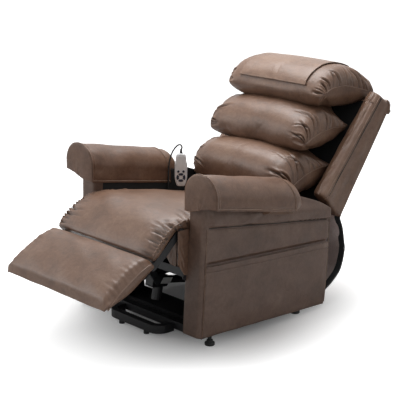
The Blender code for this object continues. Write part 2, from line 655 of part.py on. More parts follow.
def arms():
    bottom_slope = (ARM_BOTTOM_FRONT - ARM_BOTTOM_REAR) / ARM_DEPTH
    tuck = 0.0715
    roll_rear = ROLL_LENGTH
    outline = [(0.0, ARM_BOTTOM_FRONT), (ARM_POST_LEAN, ARM_POST_TOP), (ARM_POST_LEAN + 0.002, ROLL_TOP - tuck),
               (roll_rear, ROLL_TOP - tuck - ROLL_FALL * roll_rear), (ROLL_LENGTH + 0.058, 0.478), (ARM_DEPTH - 0.039, 0.426),
               (arm_rear(ARM_REAR_TOP) - 0.008, ARM_REAR_TOP + 0.006), (arm_rear(ARM_REAR_TOP - 0.01), ARM_REAR_TOP - 0.010),
               (ARM_DEPTH, ARM_BOTTOM_REAR)]
    roof = ROLL_UNDERSIDE - 0.05
    cavity = [(ARM_WALL + 0.004, -0.05), (ARM_POST_LEAN + ARM_WALL, roof), (0.40, roof - 0.40 * ROLL_FALL), (ARM_DEPTH - 0.052, 0.385),
              (ARM_DEPTH - ARM_WALL + 0.010, ARM_REAR_TOP - 0.03), (ARM_DEPTH - ARM_WALL, -0.05)]
    for word, side in sides():
        body = plate(f"arm_{word}", outline, *span(side, ARM_INNER, ARM_OUTER), LEATHER)
        inner, outer = ARM_INNER + 0.0002, ROLL_OUTER
        front_y = COVER_WALL + SLACK
        rings = []
        for y, shrink in ((front_y, 0.97), (front_y + 0.006, 1.0), (0.14, 1.0), (0.28, 1.0), (roll_rear, 1.0),
                          (roll_rear + 0.018, 0.93), (roll_rear + 0.031, 0.80), (roll_rear + 0.038, 0.62)):
            rings.append(roll_ring(y, inner, outer, ROLL_TOP, ROLL_UNDERSIDE, ROLL_UNDERSIDE, shrink))
        roll = loft(f"roll_{word}", mirror_x(rings, side), LEATHER)
        join(body, [roll])
        hollow = plate(f"hollow_{word}", cavity, *span(side, ARM_INNER + ARM_WALL, ARM_OUTER - ARM_WALL), LEATHER)
        under = box(f"under_{word}", (*span(side, ARM_INNER - 0.01, ARM_INNER + ARM_WALL + 0.001)[:1], 0.02, -0.05),
                    (span(side, ARM_INNER - 0.01, ARM_INNER + ARM_WALL + 0.001)[1], ARM_DEPTH - 0.03, ARM_INNER_LIFT), LEATHER)
        cut(body, [hollow, under])
        arm_cover(word, side)
        arm_pocket(word, side, bottom_slope)


def arm_cover(word, side):
    """Loose leather sleeve over the arm roll, closed at the front."""
    inner = ARM_INNER - SLACK - COVER_WALL
    outer = ROLL_OUTER + SLACK + COVER_WALL
    top = ROLL_TOP + SLACK + COVER_WALL
    skin = [roll_ring(y, inner, outer, top, COVER_EDGE_INNER, COVER_EDGE_OUTER)
            for y in (0.0, 0.10, 0.20, 0.30, COVER_LENGTH)]
    made = loft(f"arm_cover_{word}", mirror_x(skin, side), LEATHER)
    room = [roll_ring(y, ARM_INNER - SLACK, ROLL_OUTER + SLACK, ROLL_TOP + SLACK, COVER_EDGE_INNER - 0.1,
                      COVER_EDGE_OUTER - 0.1) for y in (COVER_WALL, 0.20, COVER_LENGTH + 0.02)]
    post = box(f"post_{word}", (span(side, ARM_INNER - SLACK, ARM_OUTER + SLACK)[0], COVER_WALL, 0.3),
               (span(side, ARM_INNER - SLACK, ARM_OUTER + SLACK)[1], COVER_LENGTH + 0.02, 0.5), LEATHER)
    cut(made, [loft(f"room_{word}", mirror_x(room, side), LEATHER), post])


def arm_pocket(word, side, bottom_slope):
    """Side pocket: a leather panel hemmed to the arm at its front, rear and lower edges."""
    front, rear = 0.014, ARM_DEPTH - 0.008
    def bottom(y):
        return ARM_BOTTOM_FRONT - bottom_slope * y + 0.006
    def mouth(y):
        return POCKET_MOUTH_FRONT + (POCKET_MOUTH_REAR - POCKET_MOUTH_FRONT) * y / ARM_DEPTH
    outline = [(front, bottom(front)), (rear, bottom(rear)), (rear + 0.010, mouth(rear)), (front + 0.010, mouth(front))]
    inside = [(front + POCKET_HEM, bottom(front) + POCKET_HEM), (rear - POCKET_HEM, bottom(rear) + POCKET_HEM),
              (rear - POCKET_HEM + 0.010, mouth(rear) + 0.02), (front + POCKET_HEM + 0.010, mouth(front) + 0.02)]
    wall_x = ARM_OUTER + POCKET_SLIT
    made = plate(f"arm_pocket_{word}", outline, *span(side, ARM_OUTER + GAP, wall_x + POCKET_WALL), LEATHER)
    cut(made, [plate(f"slit_{word}", inside, *span(side, ARM_OUTER - 0.01, wall_x), LEATHER)])


# ---------------------------------------------------------------- linear actuators
def along(start, end, distance):
    run = hypot(end[0] - start[0], end[1] - start[1])
    return (start[0] + (end[0] - start[0]) * distance / run, start[1] + (end[1] - start[1]) * distance / run)


def actuator(name, tail, tip, x, tube_long, rod_from, can_side):
    """Motor with gear housing and outer tube, and the rod that slides out of the tube."""
    run = Vector((tip[0] - tail[0], tip[1] - tail[1])).normalized()
    across = Vector((-run.y, run.x)) * can_side
    start = Vector(tail) - run * 0.018
    end = start + run * HOUSING_LONG
    block = [start + across * 0.026, start - across * 0.026, end - across * 0.022, end + across * 0.022]
    housing = plate(name, rounded([tuple(p) for p in block], 0.008),
                    x - HOUSING_HALF, x + HOUSING_HALF, PLASTIC)
    can_root = Vector(tail) + run * 0.030 + across * 0.015
    can_tip = can_root + across * (CAN_LONG + 0.010)
    can = bar("can", tuple(can_root), tuple(can_tip), CAN_RADIUS, x, PLASTIC)
    tube_end = along(tail, tip, tube_long)
    tube = bar("tube", along(tail, tip, 0.03), tube_end, OUTER_TUBE_RADIUS, x, PLASTIC)
    join(housing, [can, tube])
    bore = bar("bore", along(tail, tip, BORE_FROM), along(tail, tip, tube_long + 0.02), ROD_RADIUS + GAP, x, PLASTIC)
    cut(housing, [bore])
    set_pivot(housing, *tail)
    rod = bar(name.replace("motor", "rod"), along(tail, tip, rod_from), along(tail, tip, hypot(tip[0] - tail[0], tip[1] - tail[1])),
              ROD_RADIUS, x, ZINC)
    eye = pin("eye", tip, ROD_EYE_RADIUS, x - LUG_GAP_HALF + GAP, x + LUG_GAP_HALF - GAP, ZINC)
    join(rod, [eye])
    return housing


def actuators():
    actuator("lift_motor", LIFT_MOTOR_TAIL, LIFT_ROD_END, LIFT_MOTOR_X, LIFT_TUBE_LONG, LIFT_ROD_FROM, -1)
    actuator("leg_motor", LEG_MOTOR_TAIL, LEG_ROD_END, LEG_MOTOR_X, LEG_TUBE_LONG, LEG_ROD_FROM, 1)
    actuator("back_motor", BACK_MOTOR_TAIL, BACK_ROD_END, BACK_MOTOR_X, BACK_TUBE_LONG, BACK_ROD_FROM, -1)


# ---------------------------------------------------------------- back
def back():
    wing = [back_point(*p) for p in (WING_FRONT_LOW, WING_REAR_LOW, WING_REAR_TOP, WING_FRONT_TOP)]
    for word, side in sides():
        made = plate(f"back_wing_{word}", rounded(wing, 0.008, 2), *span(side, WING_INNER, WING_OUTER), LEATHER)
        roll_wing_edges(made)
        set_pivot(made, *BACK_PIVOT)
    board()
    low_s, top_s = WING_REAR_LOW[0], WING_REAR_TOP[0]
    n0 = WING_REAR_LOW[1] - GAP
    panel = [back_point(low_s, n0), back_point(top_s, n0), back_point(top_s, n0 - REAR_PANEL_WALL),
             back_point(low_s, n0 - REAR_PANEL_WALL)]
    set_pivot(plate("back_rear_panel", panel, -WING_OUTER, WING_OUTER, LEATHER), *BACK_PIVOT)


def roll_wing_edges(made):
    """Soften the long front edges of a wing into its padded roll."""
    bm = bmesh.new()
    bm.from_mesh(made.data)
    front = (Vector((0, *back_point(*WING_FRONT_LOW))) + Vector((0, *back_point(*WING_FRONT_TOP)))) / 2
    normal = Vector((0, -cos(BACK_LEAN), sin(BACK_LEAN)))
    edges = [e for e in bm.edges if abs(e.verts[0].co.x - e.verts[1].co.x) < 1e-6 and e.calc_length() > 0.3
             and ((e.verts[0].co + e.verts[1].co) / 2 - front).dot(normal) > -0.03]
    bmesh.ops.bevel(bm, geom=edges, offset=0.018, segments=3, profile=0.5, affect="EDGES")
    bm.to_mesh(made.data)
    bm.free()


def board():
    """Back board between the wings, with side brackets down to the pivots."""
    wide, narrow = WING_INNER - GAP, BAR_INNER + 0.004
    outline = [(-wide, BOARD_TOP_S), (-wide, BOARD_SPLIT_S), (-narrow, BOARD_SPLIT_S), (-narrow, BOARD_LOW_S),
               (narrow, BOARD_LOW_S), (narrow, BOARD_SPLIT_S), (wide, BOARD_SPLIT_S), (wide, BOARD_TOP_S)]
    bm = bmesh.new()
    verts = [bm.verts.new((x, *back_point(s, BOARD_BACK_N))) for x, s in outline]
    made = bmesh.ops.triangle_fill(bm, edges=[bm.edges.new((verts[i - 1], verts[i])) for i in range(len(verts))])
    moved = bmesh.ops.extrude_face_region(bm, geom=[g for g in made["geom"] if isinstance(g, bmesh.types.BMFace)])
    out = Vector((0, -cos(BACK_LEAN), sin(BACK_LEAN))) * (BOARD_FRONT_N - BOARD_BACK_N)
    bmesh.ops.translate(bm, vec=out, verts=[g for g in moved["geom"] if isinstance(g, bmesh.types.BMVert)])
    made = finish(bm, "back_frame", LINING)
    extra = []
    for word, side in sides():
        bracket = hull([BACK_PIVOT, back_point(-0.02, BOARD_FRONT_N - 0.015), back_point(0.07, BOARD_FRONT_N - 0.015)], 0.019)
        extra.append(plate(f"bracket_{word}", bracket, *span(side, BAR_INNER + 0.0005, BAR_OUTER), STEEL,
                           [circle(BACK_PIVOT, PIN_RADIUS + SLACK)]))
    extra += lugs("rod_ear", BACK_MOTOR_X, [BACK_ROD_END, back_point(BOARD_LOW_S + 0.03, BOARD_FRONT_N - 0.018)], 0.017)
    join(made, extra)
    set_pivot(made, *BACK_PIVOT)


def against(point, spot, tilt, above):
    """Keep a profile point on one side of a sloping contact line."""
    normal = Vector((-sin(tilt), cos(tilt)))
    depth = (Vector(point) - Vector(BACK_PIVOT) - Vector(spot)).dot(normal)
    limit = GAP / 2
    if above and depth < limit:
        return tuple(Vector(point) + normal * (limit - depth))
    if not above and depth > -limit:
        return tuple(Vector(point) + normal * (-limit - depth))
    return point


def off_board(point):
    """Keep a profile point in front of the back board."""
    normal = Vector((-cos(BACK_LEAN), sin(BACK_LEAN)))
    depth = (Vector(point) - Vector(BACK_PIVOT)).dot(normal) - BOARD_FRONT_N - GAP
    return point if depth >= 0 else tuple(Vector(point) - normal * depth)


def cushion_profile(shape, wide, tall, limits, steps=28):
    """Side profile of a back cushion: a squarish oval pressed against its neighbours."""
    (across, rise), half_deep, half_tall, tilt = shape
    cy, cz = BACK_PIVOT[0] + across, BACK_PIVOT[1] + rise
    points = []
    for k in range(steps):
        a = 2 * pi * k / steps
        u = half_deep * wide * power(cos(a), 0.85)
        v = half_tall * tall * power(sin(a), 0.80)
        point = (cy + u * cos(tilt) - v * sin(tilt), cz + u * sin(tilt) + v * cos(tilt))
        for spot, lean, above in limits:
            point = against(point, spot, lean, above)
        points.append(off_board(point))
    return points


CUSHION_ENDS = ((0.0, 1.0, 1.0), (0.35, 1.0, 1.0), (0.70, 0.995, 0.985), (0.82, 0.975, 0.93), (0.90, 0.94, 0.80),
                (0.955, 0.89, 0.58), (0.985, 0.83, 0.36), (1.0, 0.76, 0.16))


def back_cushion(name, shape, limits):
    """Fibre-filled roll across the back, drawn in to a gathered seam at each end."""
    rings = []
    for u, wide, tall in CUSHION_ENDS[:0:-1]:
        rings.append([(-CUSHION_HALF * u, y, z) for y, z in cushion_profile(shape, wide, tall, limits)])
    for u, wide, tall in CUSHION_ENDS:
        rings.append([(CUSHION_HALF * u, y, z) for y, z in cushion_profile(shape, wide, tall, limits)])
    set_pivot(loft(name, rings, LEATHER), *BACK_PIVOT)


def cushions():
    back_cushion("back_cushion_low", LOW_CUSHION,
                 [(LOW_FLOOR, LOW_FLOOR_TILT, True), (LOW_MID_CONTACT, LOW_MID_TILT, False)])
    back_cushion("back_cushion_middle", MID_CUSHION,
                 [(LOW_MID_CONTACT, LOW_MID_TILT, True), (MID_HEAD_CONTACT, MID_HEAD_TILT, False)])
    back_cushion("head_cushion", HEAD_CUSHION, [(MID_HEAD_CONTACT, MID_HEAD_TILT, True)])
    head_cover()


def head_cover():
    """Leather cloth laid over the middle of the head cushion."""
    profile = [Vector(p) for p in cushion_profile(HEAD_CUSHION, 1.0, 1.0, [(MID_HEAD_CONTACT, MID_HEAD_TILT, True)])]
    count = len(profile)
    chosen = [k for k in range(count) if HEAD_COVER_END <= 2 * pi * k / count <= HEAD_COVER_START]
    inner, outer = [], []
    for k in chosen:
        run = (profile[(k + 1) % count] - profile[k - 1]).normalized()
        out = Vector((run.y, -run.x))
        inner.append(tuple(profile[k] + out * GAP * 2))
        outer.append(tuple(profile[k] + out * (GAP * 2 + HEAD_COVER_WALL)))
    made = plate("head_cover", outer + inner[::-1], -HEAD_COVER_HALF, HEAD_COVER_HALF, LEATHER)
    set_pivot(made, *BACK_PIVOT)


def skirt():
    """Leather skirt that closes the gap behind the seat, slack when the back leans."""
    top = back_point(WING_REAR_LOW[0] - 0.0018, WING_REAR_LOW[1] - GAP - REAR_PANEL_WALL / 2)
    foot_y = arm_rear(SKIRT_FOOT_Z) + GAP + SKIRT_WALL / 2
    bulge = [(ARM_DEPTH + behind, z) for behind, z in SKIRT_BULGE]
    knots = [Vector(p) for p in (top, *bulge, (foot_y + 0.0035, SKIRT_FOOT_Z))]
    line = []
    for i in range(len(knots) - 1):
        p0 = knots[max(i - 1, 0)]
        p1, p2 = knots[i], knots[i + 1]
        p3 = knots[min(i + 2, len(knots) - 1)]
        for k in range(3):
            t = k / 3
            line.append(0.5 * (2 * p1 + (p2 - p0) * t + (2 * p0 - 5 * p1 + 4 * p2 - p3) * t * t
                               + (3 * p1 - p0 - 3 * p2 + p3) * t ** 3))
    line.append(knots[-1])
    line.append(Vector((foot_y, SKIRT_FOOT_Z - 0.016)))
    outer, inner = [], []
    for i, point in enumerate(line):
        run = (line[min(i + 1, len(line) - 1)] - line[max(i - 1, 0)]).normalized()
        side = Vector((-run.y, run.x)) * SKIRT_WALL / 2
        outer.append(tuple(point + side))
        inner.append(tuple(point - side))
    plate("back_skirt", outer + inner[::-1], -SKIRT_HALF, SKIRT_HALF, LEATHER)


# ---------------------------------------------------------------- leg rest
def leg_rest():
    for word, side in sides():
        arm = plate(f"leg_arm_{word}", hull([LEG_PIVOT, LEG_TUBE, FOOT_PIVOT], 0.012),
                    *span(side, BAR_INNER, BAR_OUTER), STEEL, [circle(LEG_PIVOT, PIN_RADIUS + SLACK)])
        join(arm, [pin(f"foot_pin_{word}", FOOT_PIVOT, 0.005, *span(side, LUG_INNER, BAR_INNER + 0.002), STEEL)])
        set_pivot(arm, *LEG_PIVOT)
    tube = pin("leg_cross_tube", LEG_TUBE, 0.011, -LUG_OUTER, LUG_OUTER, STEEL)
    join(tube, lugs("rod_ear", LEG_MOTOR_X, [LEG_TUBE, LEG_ROD_END], 0.013))
    set_pivot(tube, *LEG_PIVOT)
    leg_pad()
    footrest()


def leg_pad():
    """Calf pad: bridges from the seat's front edge to the footrest, curved round the hinge."""
    ly, lz = LEG_PIVOT
    rise = SEAT_TOP_FRONT - lz
    run = Vector((FOOT_PIVOT[0] - ly, FOOT_PIVOT[1] - lz)).normalized()
    up = Vector((run.y, -run.x))
    rings = []

    def add(low, high, wide, crown):
        normal = (Vector(high) - Vector(low)).normalized()
        tall = (Vector(high) - Vector(low)).length

        def place(x, h):
            p = Vector(low) + normal * h
            return (x, p.x, p.y)
        rings.append(pad_ring(LEG_PAD_HALF * wide, 0.0, tall, crown, place))

    for angle, wide, tall in ((62, 0.97, 0.80), (52, 0.99, 0.95), (38, 1.0, 0.99), (20, 1.0, 1.0), (0, 1.0, 1.0)):
        a = radians(angle)
        way = Vector((sin(a), cos(a)))
        high = LEG_PAD_INNER_RADIUS + (rise - LEG_PAD_INNER_RADIUS - (0.001 if angle > 30 else 0.0)) * tall
        add(Vector(LEG_PIVOT) + way * LEG_PAD_INNER_RADIUS, Vector(LEG_PIVOT) + way * high, wide,
            0.0 if angle > 30 else LEG_PAD_CROWN * (1 - angle / 40))
    for reach, out, high, wide in LEG_PAD_ROWS:
        root = Vector(LEG_PIVOT) + run * reach
        add(root + up * out, root + up * high, wide, LEG_PAD_CROWN)
    set_pivot(loft("leg_pad", rings, LEATHER), *LEG_PIVOT)


def footrest():
    start = Vector(RIDGE)
    run = (Vector(FOOT_EDGE) - start).normalized()
    long = (Vector(FOOT_EDGE) - start).length
    down = Vector((-run.y, run.x))
    top_gap = 0.006
    rows = ((0.0, 0.55, 0.97), (0.03, 0.80, 0.99), (0.09, 0.96, 1.0), (0.25, 1.0, 1.0), (0.50, 1.0, 1.0), (0.75, 1.0, 1.0),
            (0.92, 0.97, 1.0), (0.98, 0.90, 0.995), (1.0, 0.72, 0.985))
    rings = []
    for t, tall, wide in rows:
        root = start + run * (top_gap + (long - top_gap) * t) + down * (FOOTREST_PAD_THICK - GAP)
        half = (FOOTREST_HALF_TOP + (FOOTREST_HALF_LOW - FOOTREST_HALF_TOP) * t) * wide

        def place(x, h, root=root):
            p = root - down * h
            return (x, p.x, p.y)
        rings.append(pad_ring(half, 0.0, (FOOTREST_PAD_THICK - GAP) * tall, FOOTREST_CROWN * tall, place))
    pad = loft("footrest_pad", rings, LEATHER)
    inset = tuple(start + run * 0.05 + down * (FOOTREST_PAD_THICK + 0.011))
    slots = []
    for word, side in sides():
        slots.append(plate(f"slot_{word}", hull([FOOT_PIVOT, inset], 0.0105), *span(side, LUG_INNER - 0.001, LUG_OUTER + 0.001),
                           LEATHER))
        slots.append(pin(f"groove_{word}", FOOT_PIVOT, 0.0128, *span(side, LUG_OUTER, BAR_OUTER + 0.001), LEATHER, 20))
    cut(pad, slots)
    set_pivot(pad, *FOOT_PIVOT)
    first, last = 0.014, long - 0.022
    deep = FOOTREST_PAD_THICK
    outline = [start + run * first + down * deep, start + run * last + down * deep,
               start + run * last + down * (deep + BOARD_THICK), start + run * first + down * (deep + BOARD_THICK)]
    made = plate("footrest_board", [tuple(p) for p in outline], -LUG_OUTER - FOOTREST_BOARD_MARGIN, LUG_OUTER + FOOTREST_BOARD_MARGIN, WOOD)
    ears = []
    for word, side in sides():
        ear = hull([FOOT_PIVOT, inset], 0.010)
        ears.append(plate(f"ear_{word}", ear, *span(side, LUG_INNER, LUG_OUTER), STEEL,
                          [circle(FOOT_PIVOT, 0.005 + SLACK)]))
    join(made, ears)
    set_pivot(made, *FOOT_PIVOT)


# ---------------------------------------------------------------- handset, lead and control box
HANDSET_FRAME = (Matrix.Translation(HANDSET_PLACE) @ Matrix.Rotation(HANDSET_TURN, 4, "Z"))


def handset():
    """Handset: rounded shell, narrower at both ends. Its face looks along its own -Y."""
    rings = []
    rows = ((-0.5, 0.50, 0.55), (-0.485, 0.62, 0.80), (-0.44, 0.74, 0.95), (-0.34, 0.90, 1.0), (-0.22, 1.0, 1.0),
            (0.10, 1.0, 1.0), (0.20, 0.97, 1.0), (0.26, 0.84, 1.0), (0.40, 0.80, 0.98), (0.475, 0.66, 0.88), (0.5, 0.46, 0.55))
    half_x, half_y = HANDSET_WIDE / 2, HANDSET_THICK / 2
    for t, wide, thick in rows:
        outline = rounded([(-half_x * wide, -half_y * thick), (half_x * wide, -half_y * thick),
                           (half_x * wide, half_y * thick), (-half_x * wide, half_y * thick)], 0.006, 3)
        rings.append([(x, y, HANDSET_TALL * t) for x, y in outline])
    body = loft("handset", rings, SHELL)
    face = -half_y
    wells = [button_solid(f"well_{name}", outline, face - 0.01, face + BUTTON_WELL, GAP * 1.5)
             for name, outline in button_outlines().items()]
    cut(body, wells)
    body.matrix_world = HANDSET_FRAME
    for name, outline in button_outlines().items():
        made = button_solid(name, outline, face - BUTTON_STAND, face + BUTTON_DEEP, 0.0)
        made.matrix_world = HANDSET_FRAME


def button_outlines():
    """Face outlines of the six buttons, as (x, z) on the handset."""
    outlines = {}
    for word, side in (("memory_left", -1), ("memory_right", 1)):
        outlines[f"button_{word}"] = (circle((side * ROUND_BUTTON_X, ROUND_BUTTON_Z), ROUND_BUTTON_RADIUS, 14), None)
    for k, word in enumerate(("right", "up", "left", "down")):
        middle = k * pi / 2
        half = pi / 4 - RING_SPLIT / 2
        outlines[f"button_{word}"] = (None, (middle - half, middle + half))
    return outlines


def button_solid(name, shape, y0, y1, grow):
    """Round or arc-shaped button, grown on its face by a clearance."""
    disc, arc = shape
    if disc:
        cx = sum(p[0] for p in disc) / len(disc)
        cz = sum(p[1] for p in disc) / len(disc)
        radius = ROUND_BUTTON_RADIUS + grow
        outline = circle((cx, cz), radius, 14)
    else:
        start, end = arc[0] - grow / RING_INNER, arc[1] + grow / RING_INNER
        outer = [(RING_OUTER + grow, start + (end - start) * k / 6) for k in range(7)]
        inner = [(RING_INNER - grow, start + (end - start) * k / 6) for k in range(6, -1, -1)]
        outline = [(r * cos(a), RING_Z + r * sin(a)) for r, a in outer + inner]
    made = plate(name, outline, y0, y1, BUTTON)
    turn = Matrix(((0, 1, 0, 0), (1, 0, 0, 0), (0, 0, 1, 0), (0, 0, 0, 1)))
    made.data.transform(turn)
    made.data.flip_normals()
    return made


def lead():
    """Lead from the handset's top, down beside the seat cushion, through its coil and into the control box."""
    top = HANDSET_FRAME @ Vector((0, 0, HANDSET_TALL / 2))
    x0, _, z0 = CONTROL_BOX_LOW
    wide, deep, tall = CONTROL_BOX_SIZE
    box_y = MID_RAIL_Y + RAIL + GAP
    coil_x, coil_y = x0 + wide / 2, box_y + deep / 2
    lowest = z0 + tall + GAP + LEAD_RADIUS
    slot_x = -0.2431
    knots = [top + Vector((0, 0, GAP)), top + Vector((0, 0, 0.012)), top + Vector((0.004, 0.001, 0.024)),
             top + Vector((0.001, -0.003, 0.034)), top + Vector((-0.010, -0.010, 0.031)),
             Vector((-0.2350, 0.400, 0.560)), Vector((-0.2420, 0.390, 0.520)), Vector((-0.2435, 0.386, 0.470)),
             Vector((slot_x, 0.386, 0.420)), Vector((slot_x, 0.386, 0.370)), Vector((slot_x, 0.387, 0.320)),
             Vector((slot_x, 0.390, 0.288)), Vector((-0.2370, 0.398, 0.266)), Vector((-0.2180, 0.415, 0.2565)),
             Vector((-0.1900, 0.4330, 0.2530)), Vector((-0.1666, 0.4366, 0.2512))]
    down = smooth_route(knots, 2)
    cable("handset_lead", down)
    coil_ring(coil_x, coil_y, lowest)
    bend = LEAD_BEND
    drop = Vector((x0 - 0.010, coil_y + COIL_RADIUS, lowest))
    leaves = coil_x - COIL_LEAVE
    turned = [drop + Vector((-bend * sin(pi * k / 6), 0, -bend + bend * cos(pi * k / 6))) for k in range(7)]
    tail = [Vector((leaves, drop.y, lowest)), Vector(((leaves + drop.x) / 2, drop.y, lowest)), *turned,
            Vector((x0 - GAP, drop.y, lowest - 2 * bend))]
    cable("handset_lead_tail", tail)
    loose = sum((b - a).length for line in (down, tail) for a, b in zip(line, line[1:]))
    print("handset lead", round(loose + 2 * COIL_LEAVE + 2 * pi * COIL_RADIUS * COIL_TURNS, 3), "m with its coil")


def cable(name, points):
    """Round cable through a list of points."""
    curve = bpy.data.curves.new(name, "CURVE")
    curve.dimensions = "3D"
    curve.bevel_depth = LEAD_RADIUS
    curve.bevel_resolution = 2
    curve.use_fill_caps = True
    spline = curve.splines.new("POLY")
    spline.points.add(len(points) - 1)
    for target, point in zip(spline.points, points):
        target.co = (*point, 1.0)
    curve.materials.append(CABLE)
    made = bpy.data.objects.new(name, curve)
    bpy.context.scene.collection.objects.link(made)


def coil_ring(x, y, lowest):
    """Ring of the coil's outer shape, on the control box."""
    bm = bmesh.new()
    high = lowest + COIL_PITCH * COIL_TURNS + LEAD_RADIUS
    outline = [(COIL_RADIUS - LEAD_RADIUS, lowest - LEAD_RADIUS), (COIL_RADIUS + LEAD_RADIUS, lowest - LEAD_RADIUS),
               (COIL_RADIUS + LEAD_RADIUS, high), (COIL_RADIUS - LEAD_RADIUS, high)]
    rings = []
    for k in range(COIL_SIDES):
        a = 2 * pi * k / COIL_SIDES
        rings.append([bm.verts.new((x + r * cos(a), y + r * sin(a), z)) for r, z in outline])
    for k in range(COIL_SIDES):
        this, following = rings[k], rings[(k + 1) % COIL_SIDES]
        for i in range(4):
            bm.faces.new((this[i - 1], this[i], following[i], following[i - 1]))
    bmesh.ops.recalc_face_normals(bm, faces=bm.faces)
    return finish(bm, "handset_lead_coil", CABLE, radians(40))


def smooth_route(knots, steps):
    """Points on a smooth curve through the knots."""
    points = []
    for i in range(len(knots) - 1):
        p0 = knots[max(i - 1, 0)]
        p1, p2 = knots[i], knots[i + 1]
        p3 = knots[min(i + 2, len(knots) - 1)]
        for k in range(steps):
            t = k / steps
            points.append(0.5 * (2 * p1 + (p2 - p0) * t + (2 * p0 - 5 * p1 + 4 * p2 - p3) * t * t
                                 + (3 * p1 - p0 - 3 * p2 + p3) * t ** 3))
    return points + [knots[-1]]


def control_box():
    """Control box on the middle rail, with the recessed mains inlet in its rear end."""
    x0, _, z0 = CONTROL_BOX_LOW
    wide, deep, tall = CONTROL_BOX_SIZE
    y0 = MID_RAIL_Y + RAIL + GAP
    made = box("control_box", (x0, y0, z0), (x0 + wide, y0 + deep, z0 + tall), PLASTIC)
    inlet = box("inlet", (x0 + 0.035, y0 + deep - 0.016, z0 + 0.010), (x0 + 0.062, y0 + deep + 0.01, z0 + 0.030), PLASTIC)
    cut(made, [inlet])


base()
lift_arms()
side_plates()
seat_rails()
seat_deck()
seat_cushion()
arms()
actuators()
back()
cushions()
skirt()
leg_rest()
handset()
lead()
control_box()
for thing in bpy.context.scene.objects:
    thing.matrix_world = Matrix.Translation((0, -MIDDLE_Y, 0)) @ thing.matrix_world
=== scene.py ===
import bmesh
import bpy
import json
import numpy as np
from math import cos, pi, radians, sin
from mathutils import Matrix, Vector


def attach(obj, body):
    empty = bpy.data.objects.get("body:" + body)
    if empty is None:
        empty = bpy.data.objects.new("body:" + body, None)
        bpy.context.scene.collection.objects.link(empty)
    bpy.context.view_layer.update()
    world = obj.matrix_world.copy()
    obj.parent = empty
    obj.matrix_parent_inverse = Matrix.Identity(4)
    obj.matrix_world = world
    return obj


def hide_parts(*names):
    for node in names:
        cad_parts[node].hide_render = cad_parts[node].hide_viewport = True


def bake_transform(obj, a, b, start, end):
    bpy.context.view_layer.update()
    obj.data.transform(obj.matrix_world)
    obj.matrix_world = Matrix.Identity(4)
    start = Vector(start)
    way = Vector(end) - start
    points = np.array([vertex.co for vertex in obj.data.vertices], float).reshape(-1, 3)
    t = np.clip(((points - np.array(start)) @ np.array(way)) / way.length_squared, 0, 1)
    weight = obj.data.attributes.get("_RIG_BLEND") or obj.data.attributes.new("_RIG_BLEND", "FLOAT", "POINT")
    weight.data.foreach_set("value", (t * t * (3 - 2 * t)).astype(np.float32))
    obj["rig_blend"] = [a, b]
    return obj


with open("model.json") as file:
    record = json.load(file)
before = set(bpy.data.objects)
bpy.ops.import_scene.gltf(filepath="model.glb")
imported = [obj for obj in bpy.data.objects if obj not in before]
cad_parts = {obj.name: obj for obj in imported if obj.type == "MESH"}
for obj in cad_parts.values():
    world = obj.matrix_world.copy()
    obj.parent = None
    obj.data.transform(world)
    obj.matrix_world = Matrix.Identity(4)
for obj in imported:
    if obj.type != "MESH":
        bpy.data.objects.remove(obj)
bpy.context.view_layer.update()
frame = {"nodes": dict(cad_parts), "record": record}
nodes = frame["nodes"]

# ---------------------------------------------------------------- view, floor and light
# The chair stands on a white sweep, seen from its front left at about seat height with a long lens.
# The camera's place comes from a fit to the photograph. FRONT is the plane of the arms' front faces.
FRONT = -0.34
bpy.context.scene.view_settings.view_transform = "Standard"
bpy.ops.object.select_all(action="DESELECT")
bpy.ops.object.camera_add(location=(2.88016, -2.85837, 1.54591))
camera = bpy.context.object
look = Vector((-0.68610, 0.67672, -0.26705))
right = Vector((0.69989, 0.71415, 0.01157))
up = Vector((-0.19855, 0.17897, 0.96361))
camera.matrix_world = Matrix.Translation(camera.location) @ Matrix((right, up, -look)).transposed().to_4x4()
camera.data.lens = 100.33
camera.data.sensor_width = 36
camera.data.clip_start = 0.05
bpy.context.scene.camera = camera

bpy.ops.mesh.primitive_plane_add(size=60, location=(0, 0, 0))
floor = bpy.context.object
floor.name = "floor"
white = bpy.data.materials.new("white sweep")
white.use_nodes = True
tree = white.node_tree
tree.nodes.clear()
output = tree.nodes.new("ShaderNodeOutputMaterial")
seen = tree.nodes.new("ShaderNodeLightPath")
glow = tree.nodes.new("ShaderNodeEmission")
paint = tree.nodes.new("ShaderNodeBsdfDiffuse")
paint.inputs["Color"].default_value = (0.88, 0.88, 0.88, 1)
both = tree.nodes.new("ShaderNodeAddShader")
# The floor's glow, seen only by the camera, is weak under the chair and full from 0.9 m out. This paints shade
# under and around the chair and also lets the real shadow there show.
place = tree.nodes.new("ShaderNodeTexCoord")
away = tree.nodes.new("ShaderNodeVectorMath")
away.operation = "LENGTH"
glow_fade_under_chair = tree.nodes.new("ShaderNodeMapRange")
glow_fade_under_chair.interpolation_type = "SMOOTHSTEP"
glow_fade_under_chair.inputs["From Min"].default_value = 0.20
glow_fade_under_chair.inputs["From Max"].default_value = 0.90
glow_fade_under_chair.inputs["To Min"].default_value = 0.03
glow_fade_under_chair.inputs["To Max"].default_value = 1.0
share = tree.nodes.new("ShaderNodeMath")
share.operation = "MULTIPLY"
tree.links.new(place.outputs["Object"], away.inputs[0])
tree.links.new(away.outputs["Value"], glow_fade_under_chair.inputs["Value"])
tree.links.new(glow_fade_under_chair.outputs["Result"], share.inputs[0])
tree.links.new(seen.outputs["Is Camera Ray"], share.inputs[1])
tree.links.new(share.outputs[0], glow.inputs["Strength"])
tree.links.new(paint.outputs[0], both.inputs[0])
tree.links.new(glow.outputs[0], both.inputs[1])
tree.links.new(both.outputs[0], output.inputs["Surface"])
floor.data.materials.append(white)

